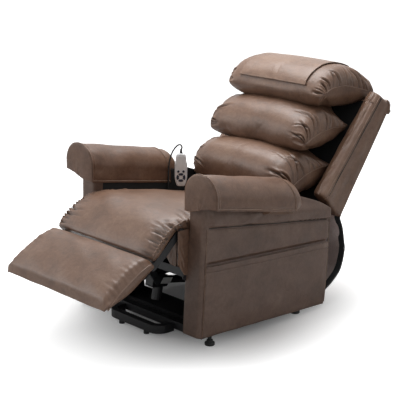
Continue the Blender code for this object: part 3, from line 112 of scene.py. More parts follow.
world = bpy.data.worlds.new("studio")
bpy.context.scene.world = world
world.use_nodes = True
tree = world.node_tree
background = tree.nodes["Background"]
seen = tree.nodes.new("ShaderNodeLightPath")
most = tree.nodes.new("ShaderNodeMath")
most.operation = "MAXIMUM"
most_of_all = tree.nodes.new("ShaderNodeMath")
most_of_all.operation = "MAXIMUM"
strength = tree.nodes.new("ShaderNodeMapRange")
strength.inputs["To Min"].default_value = 0.22
strength.inputs["To Max"].default_value = 1.0
tree.links.new(seen.outputs["Is Camera Ray"], most.inputs[0])
tree.links.new(seen.outputs["Is Transmission Ray"], most.inputs[1])
tree.links.new(most.outputs[0], most_of_all.inputs[0])
tree.links.new(seen.outputs["Is Glossy Ray"], most_of_all.inputs[1])
tree.links.new(most_of_all.outputs[0], strength.inputs["Value"])
tree.links.new(strength.outputs["Result"], background.inputs["Strength"])
background.inputs["Color"].default_value = (1, 1, 1, 1)


def soft_light(name, place, aim, size, power):
    """Square softbox that looks at a point."""
    bpy.ops.object.light_add(type="AREA", location=place)
    lamp = bpy.context.object
    lamp.name = name
    lamp.data.shape = "RECTANGLE"
    lamp.data.size, lamp.data.size_y = size
    lamp.data.energy = power
    lamp.rotation_euler = (Vector(aim) - Vector(place)).to_track_quat("-Z", "Y").to_euler()


soft_light("overhead softbox", (-0.4, 0.4, 2.6), (0, 0, 0.4), (1.8, 1.8), 66)
soft_light("front softbox", (-2.2, -2.6, 1.9), (0, 0, 0.5), (1.8, 1.8), 32)
soft_light("side softbox", (3.6, 0.6, 1.6), (0, 0, 0.4), (1.6, 1.8), 8)


# ---------------------------------------------------------------- handset lead
# A thin black lead leaves the top of the handset in a small loop, drops between the seat cushion and the
# sitter's right arm, and is coiled on the control box before it goes in.
def plastic(name, colour, roughness, grain=0.15):
    """Moulded plastic with a fine spark-eroded grain and faint handling marks."""
    made = bpy.data.materials.new(name)
    made.use_nodes = True
    tree = made.node_tree
    shader = tree.nodes["Principled BSDF"]
    place = tree.nodes.new("ShaderNodeTexCoord")
    smudge = tree.nodes.new("ShaderNodeTexNoise")
    smudge.inputs["Scale"].default_value = 22
    smudge.inputs["Detail"].default_value = 4
    tint = tree.nodes.new("ShaderNodeValToRGB")
    tint.color_ramp.elements[0].position, tint.color_ramp.elements[1].position = 0.3, 0.7
    tint.color_ramp.elements[0].color = (*[c * 0.9 for c in colour], 1)
    tint.color_ramp.elements[1].color = (*[min(c * 1.08, 1) for c in colour], 1)
    rough = tree.nodes.new("ShaderNodeMapRange")
    rough.inputs["To Min"].default_value = roughness - 0.06
    rough.inputs["To Max"].default_value = roughness + 0.08
    pits = tree.nodes.new("ShaderNodeTexNoise")
    pits.inputs["Scale"].default_value = 1600
    bump = tree.nodes.new("ShaderNodeBump")
    bump.inputs["Strength"].default_value = grain
    bump.inputs["Distance"].default_value = 0.0002
    for texture in (smudge, pits):
        tree.links.new(place.outputs["Object"], texture.inputs["Vector"])
    tree.links.new(smudge.outputs["Fac"], tint.inputs["Fac"])
    tree.links.new(tint.outputs["Color"], shader.inputs["Base Color"])
    tree.links.new(smudge.outputs["Fac"], rough.inputs["Value"])
    tree.links.new(rough.outputs["Result"], shader.inputs["Roughness"])
    tree.links.new(pits.outputs["Fac"], bump.inputs["Height"])
    tree.links.new(bump.outputs["Normal"], shader.inputs["Normal"])
    return made


lead_radius = 0.003
coil_x, coil_y, coil_low = -0.150, FRONT + 0.4728, 0.2333
coil_radius, coil_pitch, coil_turns = 0.034, 0.0066, 2.5
plug_bend = 0.0125
handset_frame = Matrix.Translation((-0.2115, FRONT + 0.4235, 0.4875)) @ Matrix.Rotation(radians(47), 4, "Z")
lead_top = handset_frame @ Vector((0, 0, 0.066))
knots = [lead_top + Vector(p) for p in (
    (0, 0, 0.0003), (0, 0, 0.012), (0.004, 0.001, 0.024), (0.001, -0.003, 0.034), (-0.010, -0.010, 0.031))]
knots += [Vector((x, FRONT + y, z)) for x, y, z in (
    (-0.2350, 0.400, 0.560), (-0.2420, 0.390, 0.520), (-0.2435, 0.386, 0.470), (-0.2431, 0.386, 0.420),
    (-0.2431, 0.386, 0.370), (-0.2431, 0.387, 0.320), (-0.2431, 0.390, 0.288), (-0.2370, 0.398, 0.266),
    (-0.2180, 0.415, 0.2565), (-0.1900, 0.4330, 0.2530), (-0.1666, 0.4366, 0.2512))]
route = []
for i in range(len(knots) - 1):
    a, b, c, d = (knots[min(max(i + k, 0), len(knots) - 1)] for k in (-1, 0, 1, 2))
    for t in (0.0, 0.5):
        bend = (2 * a - 5 * b + 4 * c - d) * t * t + (3 * b - a - 3 * c + d) * t ** 3
        route.append(0.5 * (2 * b + (c - a) * t + bend))
route.append(knots[-1])
for k in range(int(24 * coil_turns) + 1):
    a = 1.5 * pi + 2 * pi * k / 24
    high = coil_low + coil_pitch * (coil_turns - k / 24)
    route.append(Vector((coil_x + coil_radius * cos(a), coil_y + coil_radius * sin(a), high)))
edge = Vector((-0.215, coil_y + coil_radius, coil_low))
route.append((route[-1] + edge) / 2)
for k in range(7):
    route.append(edge + Vector((-plug_bend * sin(pi * k / 6), 0, plug_bend * (cos(pi * k / 6) - 1))))
route.append(Vector((-0.2053, edge.y, 0.2083)))
curve = bpy.data.curves.new("handset_cable", "CURVE")
curve.dimensions = "3D"
curve.bevel_depth = lead_radius
curve.bevel_resolution = 4
curve.use_fill_caps = True
spline = curve.splines.new("POLY")
spline.points.add(len(route) - 1)
for point, place in zip(spline.points, route):
    point.co = (*place, 1)
lead = bpy.data.objects.new("handset_cable", curve)
bpy.context.scene.collection.objects.link(lead)
sheath = plastic("black cable sheath", (0.006, 0.006, 0.007), 0.5)
curve.materials.append(sheath)
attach(lead, "chassis")
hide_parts("handset_lead", "handset_lead_coil", "handset_lead_tail")


def cut_along(made, axis, longest, cuts):
    """Divides the long edges of a fresh primitive that run along one axis, for rings to shape."""
    bpy.ops.object.mode_set(mode="EDIT")
    bpy.ops.mesh.select_mode(type="EDGE")
    bpy.ops.mesh.select_all(action="DESELECT")
    mesh = bmesh.from_edit_mesh(made.data)
    for e in mesh.edges:
        e.select_set(abs(e.verts[0].co[axis] - e.verts[1].co[axis]) > longest)
    mesh.select_flush_mode()
    bmesh.update_edit_mesh(made.data)
    bpy.ops.mesh.subdivide(number_cuts=cuts)
    bpy.ops.object.mode_set(mode="OBJECT")


relief_length, relief_rings = 0.017, 15
bpy.ops.object.select_all(action="DESELECT")
bpy.ops.mesh.primitive_cone_add(vertices=32, radius1=0.0062, radius2=0.0038, depth=relief_length)
relief = bpy.context.object
relief.name = relief.data.name = "lead_strain_relief"
cut_along(relief, 2, 0.01, relief_rings - 1)
for v in relief.data.vertices:
    ring = round((v.co.z / relief_length + 0.5) * relief_rings)
    if ring % 3 == 2 and 1 < ring < 14:
        v.co.x *= 0.80
        v.co.y *= 0.80
relief.data.transform(Matrix.Translation(lead_top + Vector((0, 0, 0.0080))))
bpy.ops.object.shade_smooth()
relief.data.materials.append(plastic("soft black moulding", (0.008, 0.008, 0.009), 0.5))
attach(relief, "chassis")


# ---------------------------------------------------------------- seat cushion and calf pad
# One run of marbled brown leather covers the seat cushion and folds down over the front edge into the calf
# pad, so it bends at the leg rest's hinge. The sides are drawn in along a piped seam with short gathers.
def leather(name, dark=(0.092, 0.052, 0.033), pale=(0.228, 0.140, 0.094), roughness=0.37):
    """Marbled leather: cloudy two-tone brown with painted shade in its folds, fine pebbles and a waxed sheen."""
    made = bpy.data.materials.new(name)
    made.use_nodes = True
    tree = made.node_tree
    link = tree.links.new
    shader = tree.nodes["Principled BSDF"]
    place = tree.nodes.new("ShaderNodeTexCoord")

    def noise(scale, detail, rough, warp=0.0):
        """One cloudy pattern that lies still on the piece."""
        made_noise = tree.nodes.new("ShaderNodeTexNoise")
        made_noise.inputs["Scale"].default_value = scale
        made_noise.inputs["Detail"].default_value = detail
        made_noise.inputs["Roughness"].default_value = rough
        made_noise.inputs["Distortion"].default_value = warp
        link(place.outputs["Object"], made_noise.inputs["Vector"])
        return made_noise

    clouds = noise(7, 5, 0.62, 0.6)
    marble = noise(34, 6, 0.66, 1.4)
    pores = noise(260, 3, 0.6)
    sum_up = tree.nodes.new("ShaderNodeMath")
    sum_up.operation = "MULTIPLY_ADD"
    sum_up.inputs[1].default_value = 0.55
    half = tree.nodes.new("ShaderNodeMath")
    half.operation = "MULTIPLY"
    half.inputs[1].default_value = 0.45
    link(marble.outputs["Fac"], half.inputs[0])
    link(clouds.outputs["Fac"], sum_up.inputs[0])
    link(half.outputs[0], sum_up.inputs[2])
    tone = tree.nodes.new("ShaderNodeValToRGB")
    stops = tone.color_ramp.elements
    stops[0].position, stops[1].position = 0.30, 0.70
    stops[0].color, stops[1].color = (*dark, 1), (*pale, 1)
    middle = stops.new(0.5)
    middle.color = (*[(a + b) / 2 * k for a, b, k in zip(dark, pale, (1.04, 0.97, 0.95))], 1)
    link(sum_up.outputs[0], tone.inputs["Fac"])
    speck = tree.nodes.new("ShaderNodeMixRGB")
    speck.blend_type = "MULTIPLY"
    speck.inputs["Fac"].default_value = 0.35
    link(tone.outputs["Color"], speck.inputs["Color1"])
    link(pores.outputs["Fac"], speck.inputs["Color2"])
    bright = tree.nodes.new("ShaderNodeHueSaturation")
    # Painted shade: the point attribute "crease" darkens the base colour in the valleys of the gathers.
    fold_shade = tree.nodes.new("ShaderNodeAttribute")
    fold_shade.attribute_name = "crease"
    in_fold = tree.nodes.new("ShaderNodeMapRange")
    in_fold.inputs["To Min"].default_value = 1.22
    in_fold.inputs["To Max"].default_value = 0.26
    link(fold_shade.outputs["Fac"], in_fold.inputs["Value"])
    link(in_fold.outputs["Result"], bright.inputs["Value"])
    link(speck.outputs["Color"], bright.inputs["Color"])
    link(bright.outputs["Color"], shader.inputs["Base Color"])
    rough = tree.nodes.new("ShaderNodeMapRange")
    rough.inputs["To Min"].default_value = roughness - 0.07
    rough.inputs["To Max"].default_value = roughness + 0.10
    link(marble.outputs["Fac"], rough.inputs["Value"])
    link(rough.outputs["Result"], shader.inputs["Roughness"])
    pebbles = tree.nodes.new("ShaderNodeTexVoronoi")
    pebbles.inputs["Scale"].default_value = 620
    pebbles.feature = "DISTANCE_TO_EDGE"
    link(place.outputs["Object"], pebbles.inputs["Vector"])
    crease = noise(48, 5, 0.7, 0.8)
    first = tree.nodes.new("ShaderNodeBump")
    first.inputs["Strength"].default_value = 0.35
    first.inputs["Distance"].default_value = 0.0006
    second = tree.nodes.new("ShaderNodeBump")
    second.inputs["Strength"].default_value = 0.4
    second.inputs["Distance"].default_value = 0.0022
    link(pebbles.outputs["Distance"], first.inputs["Height"])
    link(crease.outputs["Fac"], second.inputs["Height"])
    link(second.outputs["Normal"], first.inputs["Normal"])
    link(first.outputs["Normal"], shader.inputs["Normal"])
    shader.inputs["Specular IOR Level"].default_value = 0.5
    return made


hide = leather("marbled brown leather")


def box_piece(name, cuts):
    """A unit cube divided along each axis, ready to be pulled into shape."""
    bpy.ops.object.select_all(action="DESELECT")
    bpy.ops.mesh.primitive_cube_add(size=2, location=(0, 0, 0))
    made = bpy.context.object
    made.name = made.data.name = name
    for axis in range(3):
        cut_along(made, axis, 1.9, cuts[axis])
    return made


def pull(made, change):
    """Moves every vertex by a function of the whole array of places."""
    places = np.empty(len(made.data.vertices) * 3)
    made.data.vertices.foreach_get("co", places)
    moved = change(places.reshape(-1, 3))
    made.data.vertices.foreach_set("co", np.ascontiguousarray(moved, float).ravel())
    made.data.update()


def finish_piece(made, look, body=None, smooth=True, replaced=()):
    """Smooth shading, material and the body the piece rides on."""
    bpy.ops.object.select_all(action="DESELECT")
    made.select_set(True)
    bpy.context.view_layer.objects.active = made
    bpy.ops.object.mode_set(mode="EDIT")
    bpy.ops.mesh.select_all(action="SELECT")
    bpy.ops.mesh.normals_make_consistent(inside=False)
    bpy.ops.object.mode_set(mode="OBJECT")
    if smooth:
        bpy.ops.object.shade_smooth()
    made.data.materials.clear()
    made.data.materials.append(look)
    if body:
        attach(made, body)
    if replaced:
        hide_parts(*replaced)


def through(knots, count):
    """Evenly spaced points on a smooth line through knots."""
    k = np.array(knots, float)
    k = np.vstack([2 * k[0] - k[1], k, 2 * k[-1] - k[-2]])
    t = np.linspace(0, 1, 40, endpoint=False)[:, None]
    line = []
    for a, b, c, d in zip(k, k[1:], k[2:], k[3:]):
        bend = (2 * a - 5 * b + 4 * c - d) * t ** 2 + (3 * b - a - 3 * c + d) * t ** 3
        line.append(0.5 * (2 * b + (c - a) * t + bend))
    line = np.vstack(line + [k[-2][None]])
    far = np.concatenate([[0], np.cumsum(np.linalg.norm(np.diff(line, axis=0), axis=1))])
    even = np.linspace(0, far[-1], count)
    return np.stack([np.interp(even, far, line[:, i]) for i in range(line.shape[1])], 1)


def at(line, t):
    """Places at shares t of the way along a line of evenly spaced points."""
    return np.stack([np.interp(t, np.linspace(0, 1, len(line)), line[:, i]) for i in range(line.shape[1])], 1)


def step(a, b, x):
    """Smooth step from 0 at a to 1 at b."""
    t = np.clip((x - a) / (b - a), 0, 1)
    return t * t * (3 - 2 * t)


def ripple(u, v, seed, waves=9, finest=9.0):
    """Soft uneven swell over two coordinates, between about -1 and 1."""
    rng = np.random.default_rng(seed)
    total = 0
    for _ in range(waves):
        a, b = rng.uniform(-finest, finest, 2)
        total = total + rng.uniform(0.4, 1.0) * np.sin(a * u + b * v + rng.uniform(0, 2 * pi))
    return total / (0.55 * waves ** 0.5 * 1.6)


seat_top = through([
    (0.490, 0.400), (0.40, 0.418), (0.30, 0.437), (0.20, 0.455), (0.10, 0.471), (0.04, 0.479),
    (-0.015, 0.4765), (-0.075, 0.4545), (-0.125, 0.419), (-0.155, 0.389), (-0.1655, 0.3715)], 400)
seat_under = through([
    (0.488, 0.289), (0.30, 0.320), (0.10, 0.353), (0.042, 0.3625), (0.030, 0.392), (0.018, 0.420),
    (-0.022, 0.429), (-0.050, 0.413), (-0.085, 0.385), (-0.125, 0.3505), (-0.140, 0.348)], 400)
welt_inset = 0.0027


def seat_half(t):
    """Half width: narrower between the back's wings, a little wider in front of the arms."""
    return 0.238 + 0.0125 * step(0.16, 0.30, t) + 0.008 * step(0.78, 0.95, t) - 0.003 * step(0.94, 1.0, t)


def shape_seat(p):
    """Along -Y the pad runs from its rear to the calf pad's lower edge."""
    x, t, side = p[:, 0], (1 - p[:, 1]) / 2, (p[:, 2] + 1) / 2
    low = at(seat_under, t)
    u = 1 - (1 - np.abs(x)) ** 1.15
    drop = 0.005 * u ** 2 + 0.017 * u ** 7
    swell = 0.0024 * ripple(x * 1.2, t * 2.2, 5)
    sunk = drop + seat_gather(t, u, np.sign(x)) - swell * (1 - u ** 4)
    upper = at(seat_top, t) - seat_normal(t) * sunk[:, None]
    mixed = low + (upper - low) * side[:, None]
    wide = seat_half(t) * u - 0.010 * (1 - side) * step(0.9, 1, u)
    wide += 0.0035 * np.sin(side * pi) * step(0.96, 1.0, u)
    return np.stack([np.sign(x) * wide, FRONT + mixed[:, 0], mixed[:, 1]], 1)


def seat_normal(t):
    """Outward direction of the pad's top in its side view."""
    run = np.gradient(seat_top, axis=0)
    run /= np.linalg.norm(run, axis=1)[:, None]
    normal = at(np.stack([-run[:, 1], run[:, 0]], 1), t)
    return normal * np.where(normal[:, 1:] < 0, -1, 1)


rng = np.random.default_rng(11)
seat_pleats = [(0.50 + 0.49 * (k + rng.uniform(-0.35, 0.35)) / 26, rng.uniform(0.0036, 0.0070),
                rng.uniform(0.52, 0.84), rng.uniform(0.0045, 0.0125), rng.uniform(-0.07, 0.02), side)
               for side in (-1, 1) for k in range(27)]


def seat_gather(t, u, sign):
    """Depth of the short pleats that are drawn into the side seams round the bend of the pad."""
    total = np.zeros_like(t)
    for centre, width, reach, depth, lean, side in seat_pleats:
        where = (t - centre - lean * (1 - u)) / (width * (0.75 + 0.9 * (1 - u)))
        shape = np.exp(-where ** 2) - 0.35 * np.exp(-((np.abs(where) - 1.9) / 1.1) ** 2)
        total += depth * shape * step(reach, 0.985, u) * (sign == side)
    return total


def paint_fold_shade(made, depth, deepest):
    """Keeps how far down in a fold each point lies, for the painted shade in the creases."""
    folds = made.data.attributes.new("crease", "FLOAT", "POINT")
    folds.data.foreach_set("value", np.clip(depth / deepest, 0, 1))


def shape_seat_folds(p):
    """As shape_seat, and it marks the valleys of the gathers for their painted shade."""
    u = 1 - (1 - np.abs(p[:, 0])) ** 1.15
    depth = seat_gather((1 - p[:, 1]) / 2, u, np.sign(p[:, 0]))
    paint_fold_shade(seat, depth * (p[:, 2] > 0.5), 0.0085)
    return shape_seat(p)


seat = box_piece("seat_and_calf_pad", (130, 280, 6))
pull(seat, shape_seat_folds)
finish_piece(seat, hide, replaced=("seat_cushion", "leg_pad"))
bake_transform(seat, "chassis", "leg_frame", start=(0, FRONT + 0.045, 0.46), end=(0, FRONT - 0.055, 0.44))


def piping(name, line, radius=0.0024, look=None):
    """Round welt or stitched seam along a line of points."""
    curve = bpy.data.curves.new(name, "CURVE")
    curve.dimensions = "3D"
    curve.bevel_depth = radius
    curve.bevel_resolution = 2
    curve.use_fill_caps = True
    spline = curve.splines.new("POLY")
    spline.points.add(len(line) - 1)
    for point, place in zip(spline.points, line):
        point.co = (*place, 1)
    bpy.ops.object.select_all(action="DESELECT")
    made = bpy.data.objects.new(name, curve)
    bpy.context.scene.collection.objects.link(made)
    made.select_set(True)
    bpy.context.view_layer.objects.active = made
    bpy.ops.object.convert(target="MESH")
    made = bpy.context.object
    bpy.ops.object.shade_smooth()
    made.data.materials.append(look or welt)
    return made


welt = leather("welt leather", (0.135, 0.078, 0.050), (0.26, 0.175, 0.125), 0.42)
for word, side in (("left", 1), ("right", -1)):
    t = np.linspace(0.30, 0.992, 150)
    sunk = 0.0195 + 0.75 * seat_gather(t, np.full_like(t, 0.985), np.full_like(t, side))
    top = at(seat_top, t) - seat_normal(t) * sunk[:, None]
    line = [(side * (w - welt_inset), FRONT + y, z) for w, (y, z) in zip(seat_half(t), top)]
    seat_welt = piping(f"seat_welt_{word}", line)
    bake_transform(seat_welt, "chassis", "leg_frame", start=(0, FRONT + 0.045, 0.46), end=(0, FRONT - 0.055, 0.44))


# ---------------------------------------------------------------- seat apron
# The leather of the seat box is drawn round its two front corners and tacked to the side plates' noses.
# It is one thin layer of the same hide as the seat.
def shape_apron(p):
    """Strip along the side plate's nose, cut shorter toward its front."""
    along, side, up_share = (p[:, 1] + 1) / 2, p[:, 0], (p[:, 2] + 1) / 2
    y = -0.0335 + 0.050 * along
    low = 0.268 + 0.040 * step(0.75, 0.0, along)
    z = low + (0.432 - low) * up_share
    fold = 0.0010 * ripple(along * 3, up_share * 3, 63)
    return np.stack([0.2562 + 0.0016 * side + fold, FRONT + y, z], 1)


apron = box_piece("seat_apron_left", (1, 24, 40))
pull(apron, shape_apron)


def shape_apron_front(p):
    """Flap on the front rail beside the leg frame."""
    across, side, up_share = (p[:, 0] + 1) / 2, p[:, 1], (p[:, 2] + 1) / 2
    x = 0.150 + 0.060 * across
    low = 0.318 - 0.030 * step(0.0, 0.6, across)
    z = low + (0.415 - low) * up_share
    y = 0.0040 - 0.0016 * side + 0.0012 * ripple(across * 4, up_share * 2, 64)
    return np.stack([x, FRONT + y, z], 1)


apron_front = box_piece("seat_apron_front_left", (24, 1, 24))
pull(apron_front, shape_apron_front)


def to_right(made, name):
    """A mirrored copy with its own mesh."""
    bpy.ops.object.select_all(action="DESELECT")
    other = made.copy()
    other.data = made.data.copy()
    other.name = other.data.name = name
    bpy.context.scene.collection.objects.link(other)
    other.data.transform(Matrix.Scale(-1, 4, (1, 0, 0)))
    other.data.flip_normals()
    return other


def both_sides(made, name, body, look, replaced=()):
    """Finishes a left piece called NAME_left and its mirrored twin."""
    other = to_right(made, f"{name}_right")
    finish_piece(made, look, body=body, replaced=[f"{r}_left" for r in replaced])
    finish_piece(other, look, body=body, replaced=[f"{r}_right" for r in replaced])
    return (("left", made), ("right", other))


for word, made in both_sides(apron, "seat_apron", "chassis", hide):
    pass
for word, made in both_sides(apron_front, "seat_apron_front", "chassis", hide):
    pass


# ---------------------------------------------------------------- footrest pad
# Flat padded panel at the end of the leg rest, wider at its foot, with a boxed edge and a welt round the top.
# The leather is pulled over foam and fixed to a thin black board that carries the hinge lugs.
foot_start = np.array((-0.164, 0.3675))
foot_end = np.array((-0.3800, 0.2500))
foot_run = (foot_end - foot_start) / np.linalg.norm(foot_end - foot_start)
foot_down = np.array((-foot_run[1], foot_run[0]))
foot_down *= -np.sign(foot_down[1])
foot_long = np.linalg.norm(foot_end - foot_start)


def foot_half(t):
    """Half width from the hinge to the lower edge, whose corners are rounded."""
    return 0.2630 + 0.015 * t - 0.010 * step(0.88, 1.0, t) ** 2


def foot_crown(t):
    """Share of the full crown along the pad."""
    return np.clip(1 - np.abs(2 * t - 1) ** 2.6, 0, 1) ** 0.85


def foot_place(t, out):
    """Points in the pad's side view, out being the distance above its plane."""
    return foot_start + foot_run * (foot_long * t)[:, None] - foot_down * out[:, None]


def shape_footrest(p):
    """The pad is deepest at the hinge and rolls over its lower edge to a thin end."""
    x, t, side = p[:, 0], (1 - p[:, 1]) / 2, (p[:, 2] + 1) / 2
    u = np.abs(x)
    crown = (0.011 * (1 - u ** 4) + 0.017) * foot_crown(t)
    side_lip = 0.021 * step(0.86, 1.0, u) ** 2.2 * (1 - 0.85 * step(0.80, 1.0, t))
    lip = side_lip + 0.016 * step(0.86, 1.0, t) ** 2.2 + 0.012 * (1 - step(0.0, 0.07, t)) ** 2
    seam = 0.0012 * np.exp(-((u - 0.975) / 0.006) ** 2)
    swell = 0.0020 * ripple(x * 1.4, t * 2.0, 23)
    pucker = 0.0019 * ripple(x * 1.2, t * 9.0, 24) * step(0.70, 0.96, u)
    rise = crown - lip - seam + swell * (1 - u ** 4) + pucker
    under = foot_place(0.03 + 0.95 * t, 0.0215 * step(0.45, 1.0, t) - 0.0445)
    place = under + (foot_place(t, rise) - under) * side[:, None]
    wide = foot_half(t) - 0.006 * (1 - side) + 0.0035 * np.sin(side * pi)
    return np.stack([np.sign(x) * wide * (1 - (1 - u) ** 1.1), FRONT + place[:, 0], place[:, 1]], 1)


foot_pad = box_piece("footrest_cushion", (90, 60, 7))
pull(foot_pad, shape_footrest)
finish_piece(foot_pad, hide, body="footrest", replaced=("footrest_pad",))
for word, side in (("left", 1), ("right", -1)):
    t = np.linspace(0.03, 0.955, 60)
    place = foot_place(t, 0.017 * foot_crown(t) - 0.0235 - 0.009 * step(0.90, 1.0, t) ** 2)
    line = [(side * (w + 0.001), FRONT + y, z) for w, (y, z) in zip(foot_half(t), place)]
    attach(piping(f"footrest_welt_{word}", line, 0.0021), "footrest")


def shape_board(p):
    """Thin board behind the pad, from its hinge lugs nearly to its lower edge."""
    t, side = (1 - p[:, 1]) / 2, (p[:, 2] + 1) / 2
    place = foot_place(0.06 + 0.80 * t, 0.0190 * step(0.45, 0.92, t) - 0.0450 - 0.009 * (1 - side))
    return np.stack([0.240 * p[:, 0], FRONT + place[:, 0], place[:, 1]], 1)


def round_edges(made, width):
    """Breaks the sharp edges of the active piece."""
    edges = made.modifiers.new("edges", "BEVEL")
    edges.width = width
    edges.segments = 2
    bpy.ops.object.modifier_apply(modifier="edges")


board = box_piece("footrest_back_board", (2, 24, 1))
pull(board, shape_board)
round_edges(board, 0.0015)
finish_piece(board, plastic("black painted board", (0.018, 0.018, 0.018), 0.5), body="footrest",
             smooth=False, replaced=("footrest_board",))


# ---------------------------------------------------------------- back cushions
# Three fibre-filled leather rolls lie across the back. Each is closed at both ends in a seam that runs from
# front to rear, and the leather is gathered into that seam in short uneven pleats.
def closed_line(knots, count):
    """Evenly spaced points on a smooth closed line."""
    k = np.array(knots, float)
    line = through(np.vstack([k[-2:], k, k[:2]]), 40 * (len(k) + 4))
    start = np.argmin(np.linalg.norm(line[20:120] - k[0], axis=1)) + 20
    rest = line[start + 60:]
    stop = np.argmin(np.linalg.norm(rest - k[0], axis=1)) + start + 60
    line = line[start:stop + 1]
    far = np.concatenate([[0], np.cumsum(np.linalg.norm(np.diff(line, axis=0), axis=1))])
    even = np.linspace(0, far[-1], count, endpoint=False)
    return np.stack([np.interp(even, far, line[:, i]) for i in range(2)], 1)


def puff(made, most=0.024):
    """Fills a sewn cover: a short cloth simulation under inner pressure, its two end seams held."""
    count = len(made.data.vertices)
    before, after = np.empty(count * 3), np.empty(count * 3)
    made.data.vertices.foreach_get("co", before)
    across = np.empty(count)
    made.data.attributes["across"].data.foreach_get("value", across)
    held = made.vertex_groups.new(name="end seams")
    held.add([int(i) for i in np.flatnonzero(np.abs(across) > 0.995)], 1.0, "REPLACE")
    cloth = made.modifiers.new("filling", "CLOTH")
    cloth.settings.quality = 4
    cloth.settings.use_pressure = True
    cloth.settings.uniform_pressure_force = 4
    cloth.settings.effector_weights.gravity = 0
    cloth.settings.bending_stiffness = 0.2
    cloth.settings.vertex_group_mass = "end seams"
    cloth.collision_settings.use_collision = False
    for number in range(1, 21):
        bpy.context.scene.frame_set(number)
    made.evaluated_get(bpy.context.evaluated_depsgraph_get()).data.vertices.foreach_get("co", after)
    made.modifiers.remove(cloth)
    made.vertex_groups.remove(held)
    bpy.context.scene.frame_set(1)
    move = (after - before).reshape(-1, 3)
    size = np.linalg.norm(move, axis=1)[:, None]
    fuller_ends = 0.25 + 0.75 * step(0.35, 0.80, np.abs(across))
    move *= fuller_ends[:, None] * np.minimum(1, most / np.maximum(size, 1e-6))
    made.data.vertices.foreach_set("co", (before.reshape(-1, 3) + move).ravel())
    made.data.update()


def back_roll(name, profile, seam, half, seed, pleats, nearest=0.46, thin=0.15, rear=0.95):
    """Roll with a side profile at its middle, drawn in to a seam line at each end and pleated above it."""
    around, along, barrel = 120, 92, 0.70
    bpy.ops.object.select_all(action="DESELECT")
    bpy.ops.mesh.primitive_cylinder_add(vertices=around, radius=1, depth=2, end_fill_type="NOTHING",
                                        rotation=(0, pi / 2, 0))
    made = bpy.context.object
    made.name = made.data.name = name
    bpy.ops.object.transform_apply(location=False, rotation=True, scale=False)
    cut_along(made, 0, 1.9, along)
    ring = closed_line(profile, around)
    line = through(seam, 200)
    low, high = ring[:, 0].min(), ring[:, 0].max()
    share = 0.5 - 0.5 * np.cos(np.clip((ring[:, 0] - low) / (high - low), 0, 1) * pi)
    flat = at(line, share)
    count = len(made.data.vertices)
    unit = np.empty(count * 3)
    made.data.vertices.foreach_get("co", unit)
    unit = unit.reshape(-1, 3)
    turn = np.arctan2(unit[:, 2], -unit[:, 1]) / (2 * pi) % 1.0
    middle = at(np.vstack([ring, ring[:1]]), turn)
    pinched = at(np.vstack([flat, flat[:1]]), turn)
    above = step(-0.004, 0.022, (middle[:, 1] - pinched[:, 1]) + 0.35 * (pinched[:, 0] - middle[:, 0]))
    marks = {"across": unit[:, 0], "turn_y": np.cos(2 * pi * turn), "turn_z": np.sin(2 * pi * turn)}
    marks["above"] = above
    for label, values in marks.items():
        mark = made.data.attributes.new(label, "FLOAT", "POINT")
        mark.data.foreach_set("value", np.ascontiguousarray(values))

    def blank(p):
        """The sewn cover before filling, round in the middle and closing on the seam at each end."""
        u = np.abs(p[:, 0])
        angle = np.clip((u - barrel) / (1 - barrel), 0, 1) * pi / 2
        out = np.where(u < barrel, u / barrel * 0.80, 0.80 + 0.20 * np.sin(angle))
        over = np.where(u < barrel, 1 - thin * (u / barrel) ** 2.6, (1 - thin) * np.cos(angle) ** 0.72)
        under = np.where(u < barrel, 1.0, np.cos(angle) ** 0.45)
        deep = (middle[:, 0] - low) / (high - low)
        over = over * (1 - 0.86 * rear * step(0.30, 1.0, deep) * step(0.25, 0.82, u))
        under = under * (1 - 0.38 * rear * step(0.60, 1.0, deep) * step(0.40, 0.85, u))
        tall = (under + (over - under) * above) * (1 - 0.16 * step(0.50, 0.0, deep) * step(0.55, 0.85, u))
        place = pinched + (middle - pinched) * (0.03 + 0.95 * tall)[:, None]
        uneven = 0.010 * ripple(p[:, 0] * 1.3, np.sin(turn * 2 * pi) * 0.8, seed + 1) * tall
        place += (middle - ring.mean(0)) * uneven[:, None]
        return np.stack([np.sign(p[:, 0]) * (half - 0.004) * out, FRONT + place[:, 0], place[:, 1]], 1)

    pull(made, blank)
    puff(made)
    finer = made.modifiers.new("finer", "SUBSURF")
    finer.levels = finer.render_levels = 1
    bpy.context.view_layer.objects.active = made
    bpy.ops.object.modifier_apply(modifier="finer")
    bpy.ops.object.select_all(action="DESELECT")
    made.select_set(True)
    bpy.ops.object.mode_set(mode="EDIT")
    bpy.ops.mesh.select_all(action="SELECT")
    bpy.ops.mesh.fill_holes(sides=0)
    bpy.ops.object.mode_set(mode="OBJECT")
    gather_ends(made, seed, pleats, nearest)
    finish_piece(made, hide, body="back")
    for word, side in (("left", 1), ("right", -1)):
        stitched = [(side * (half - 0.0035), FRONT + y, z) for y, z in line[6:194]]
        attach(piping(f"{name}_seam_{word}", stitched, 0.0022), "back")
    return made


def read(made, label):
    """Values of a point attribute."""
    values = np.empty(len(made.data.vertices))
    made.data.attributes[label].data.foreach_get("value", values)
    return values


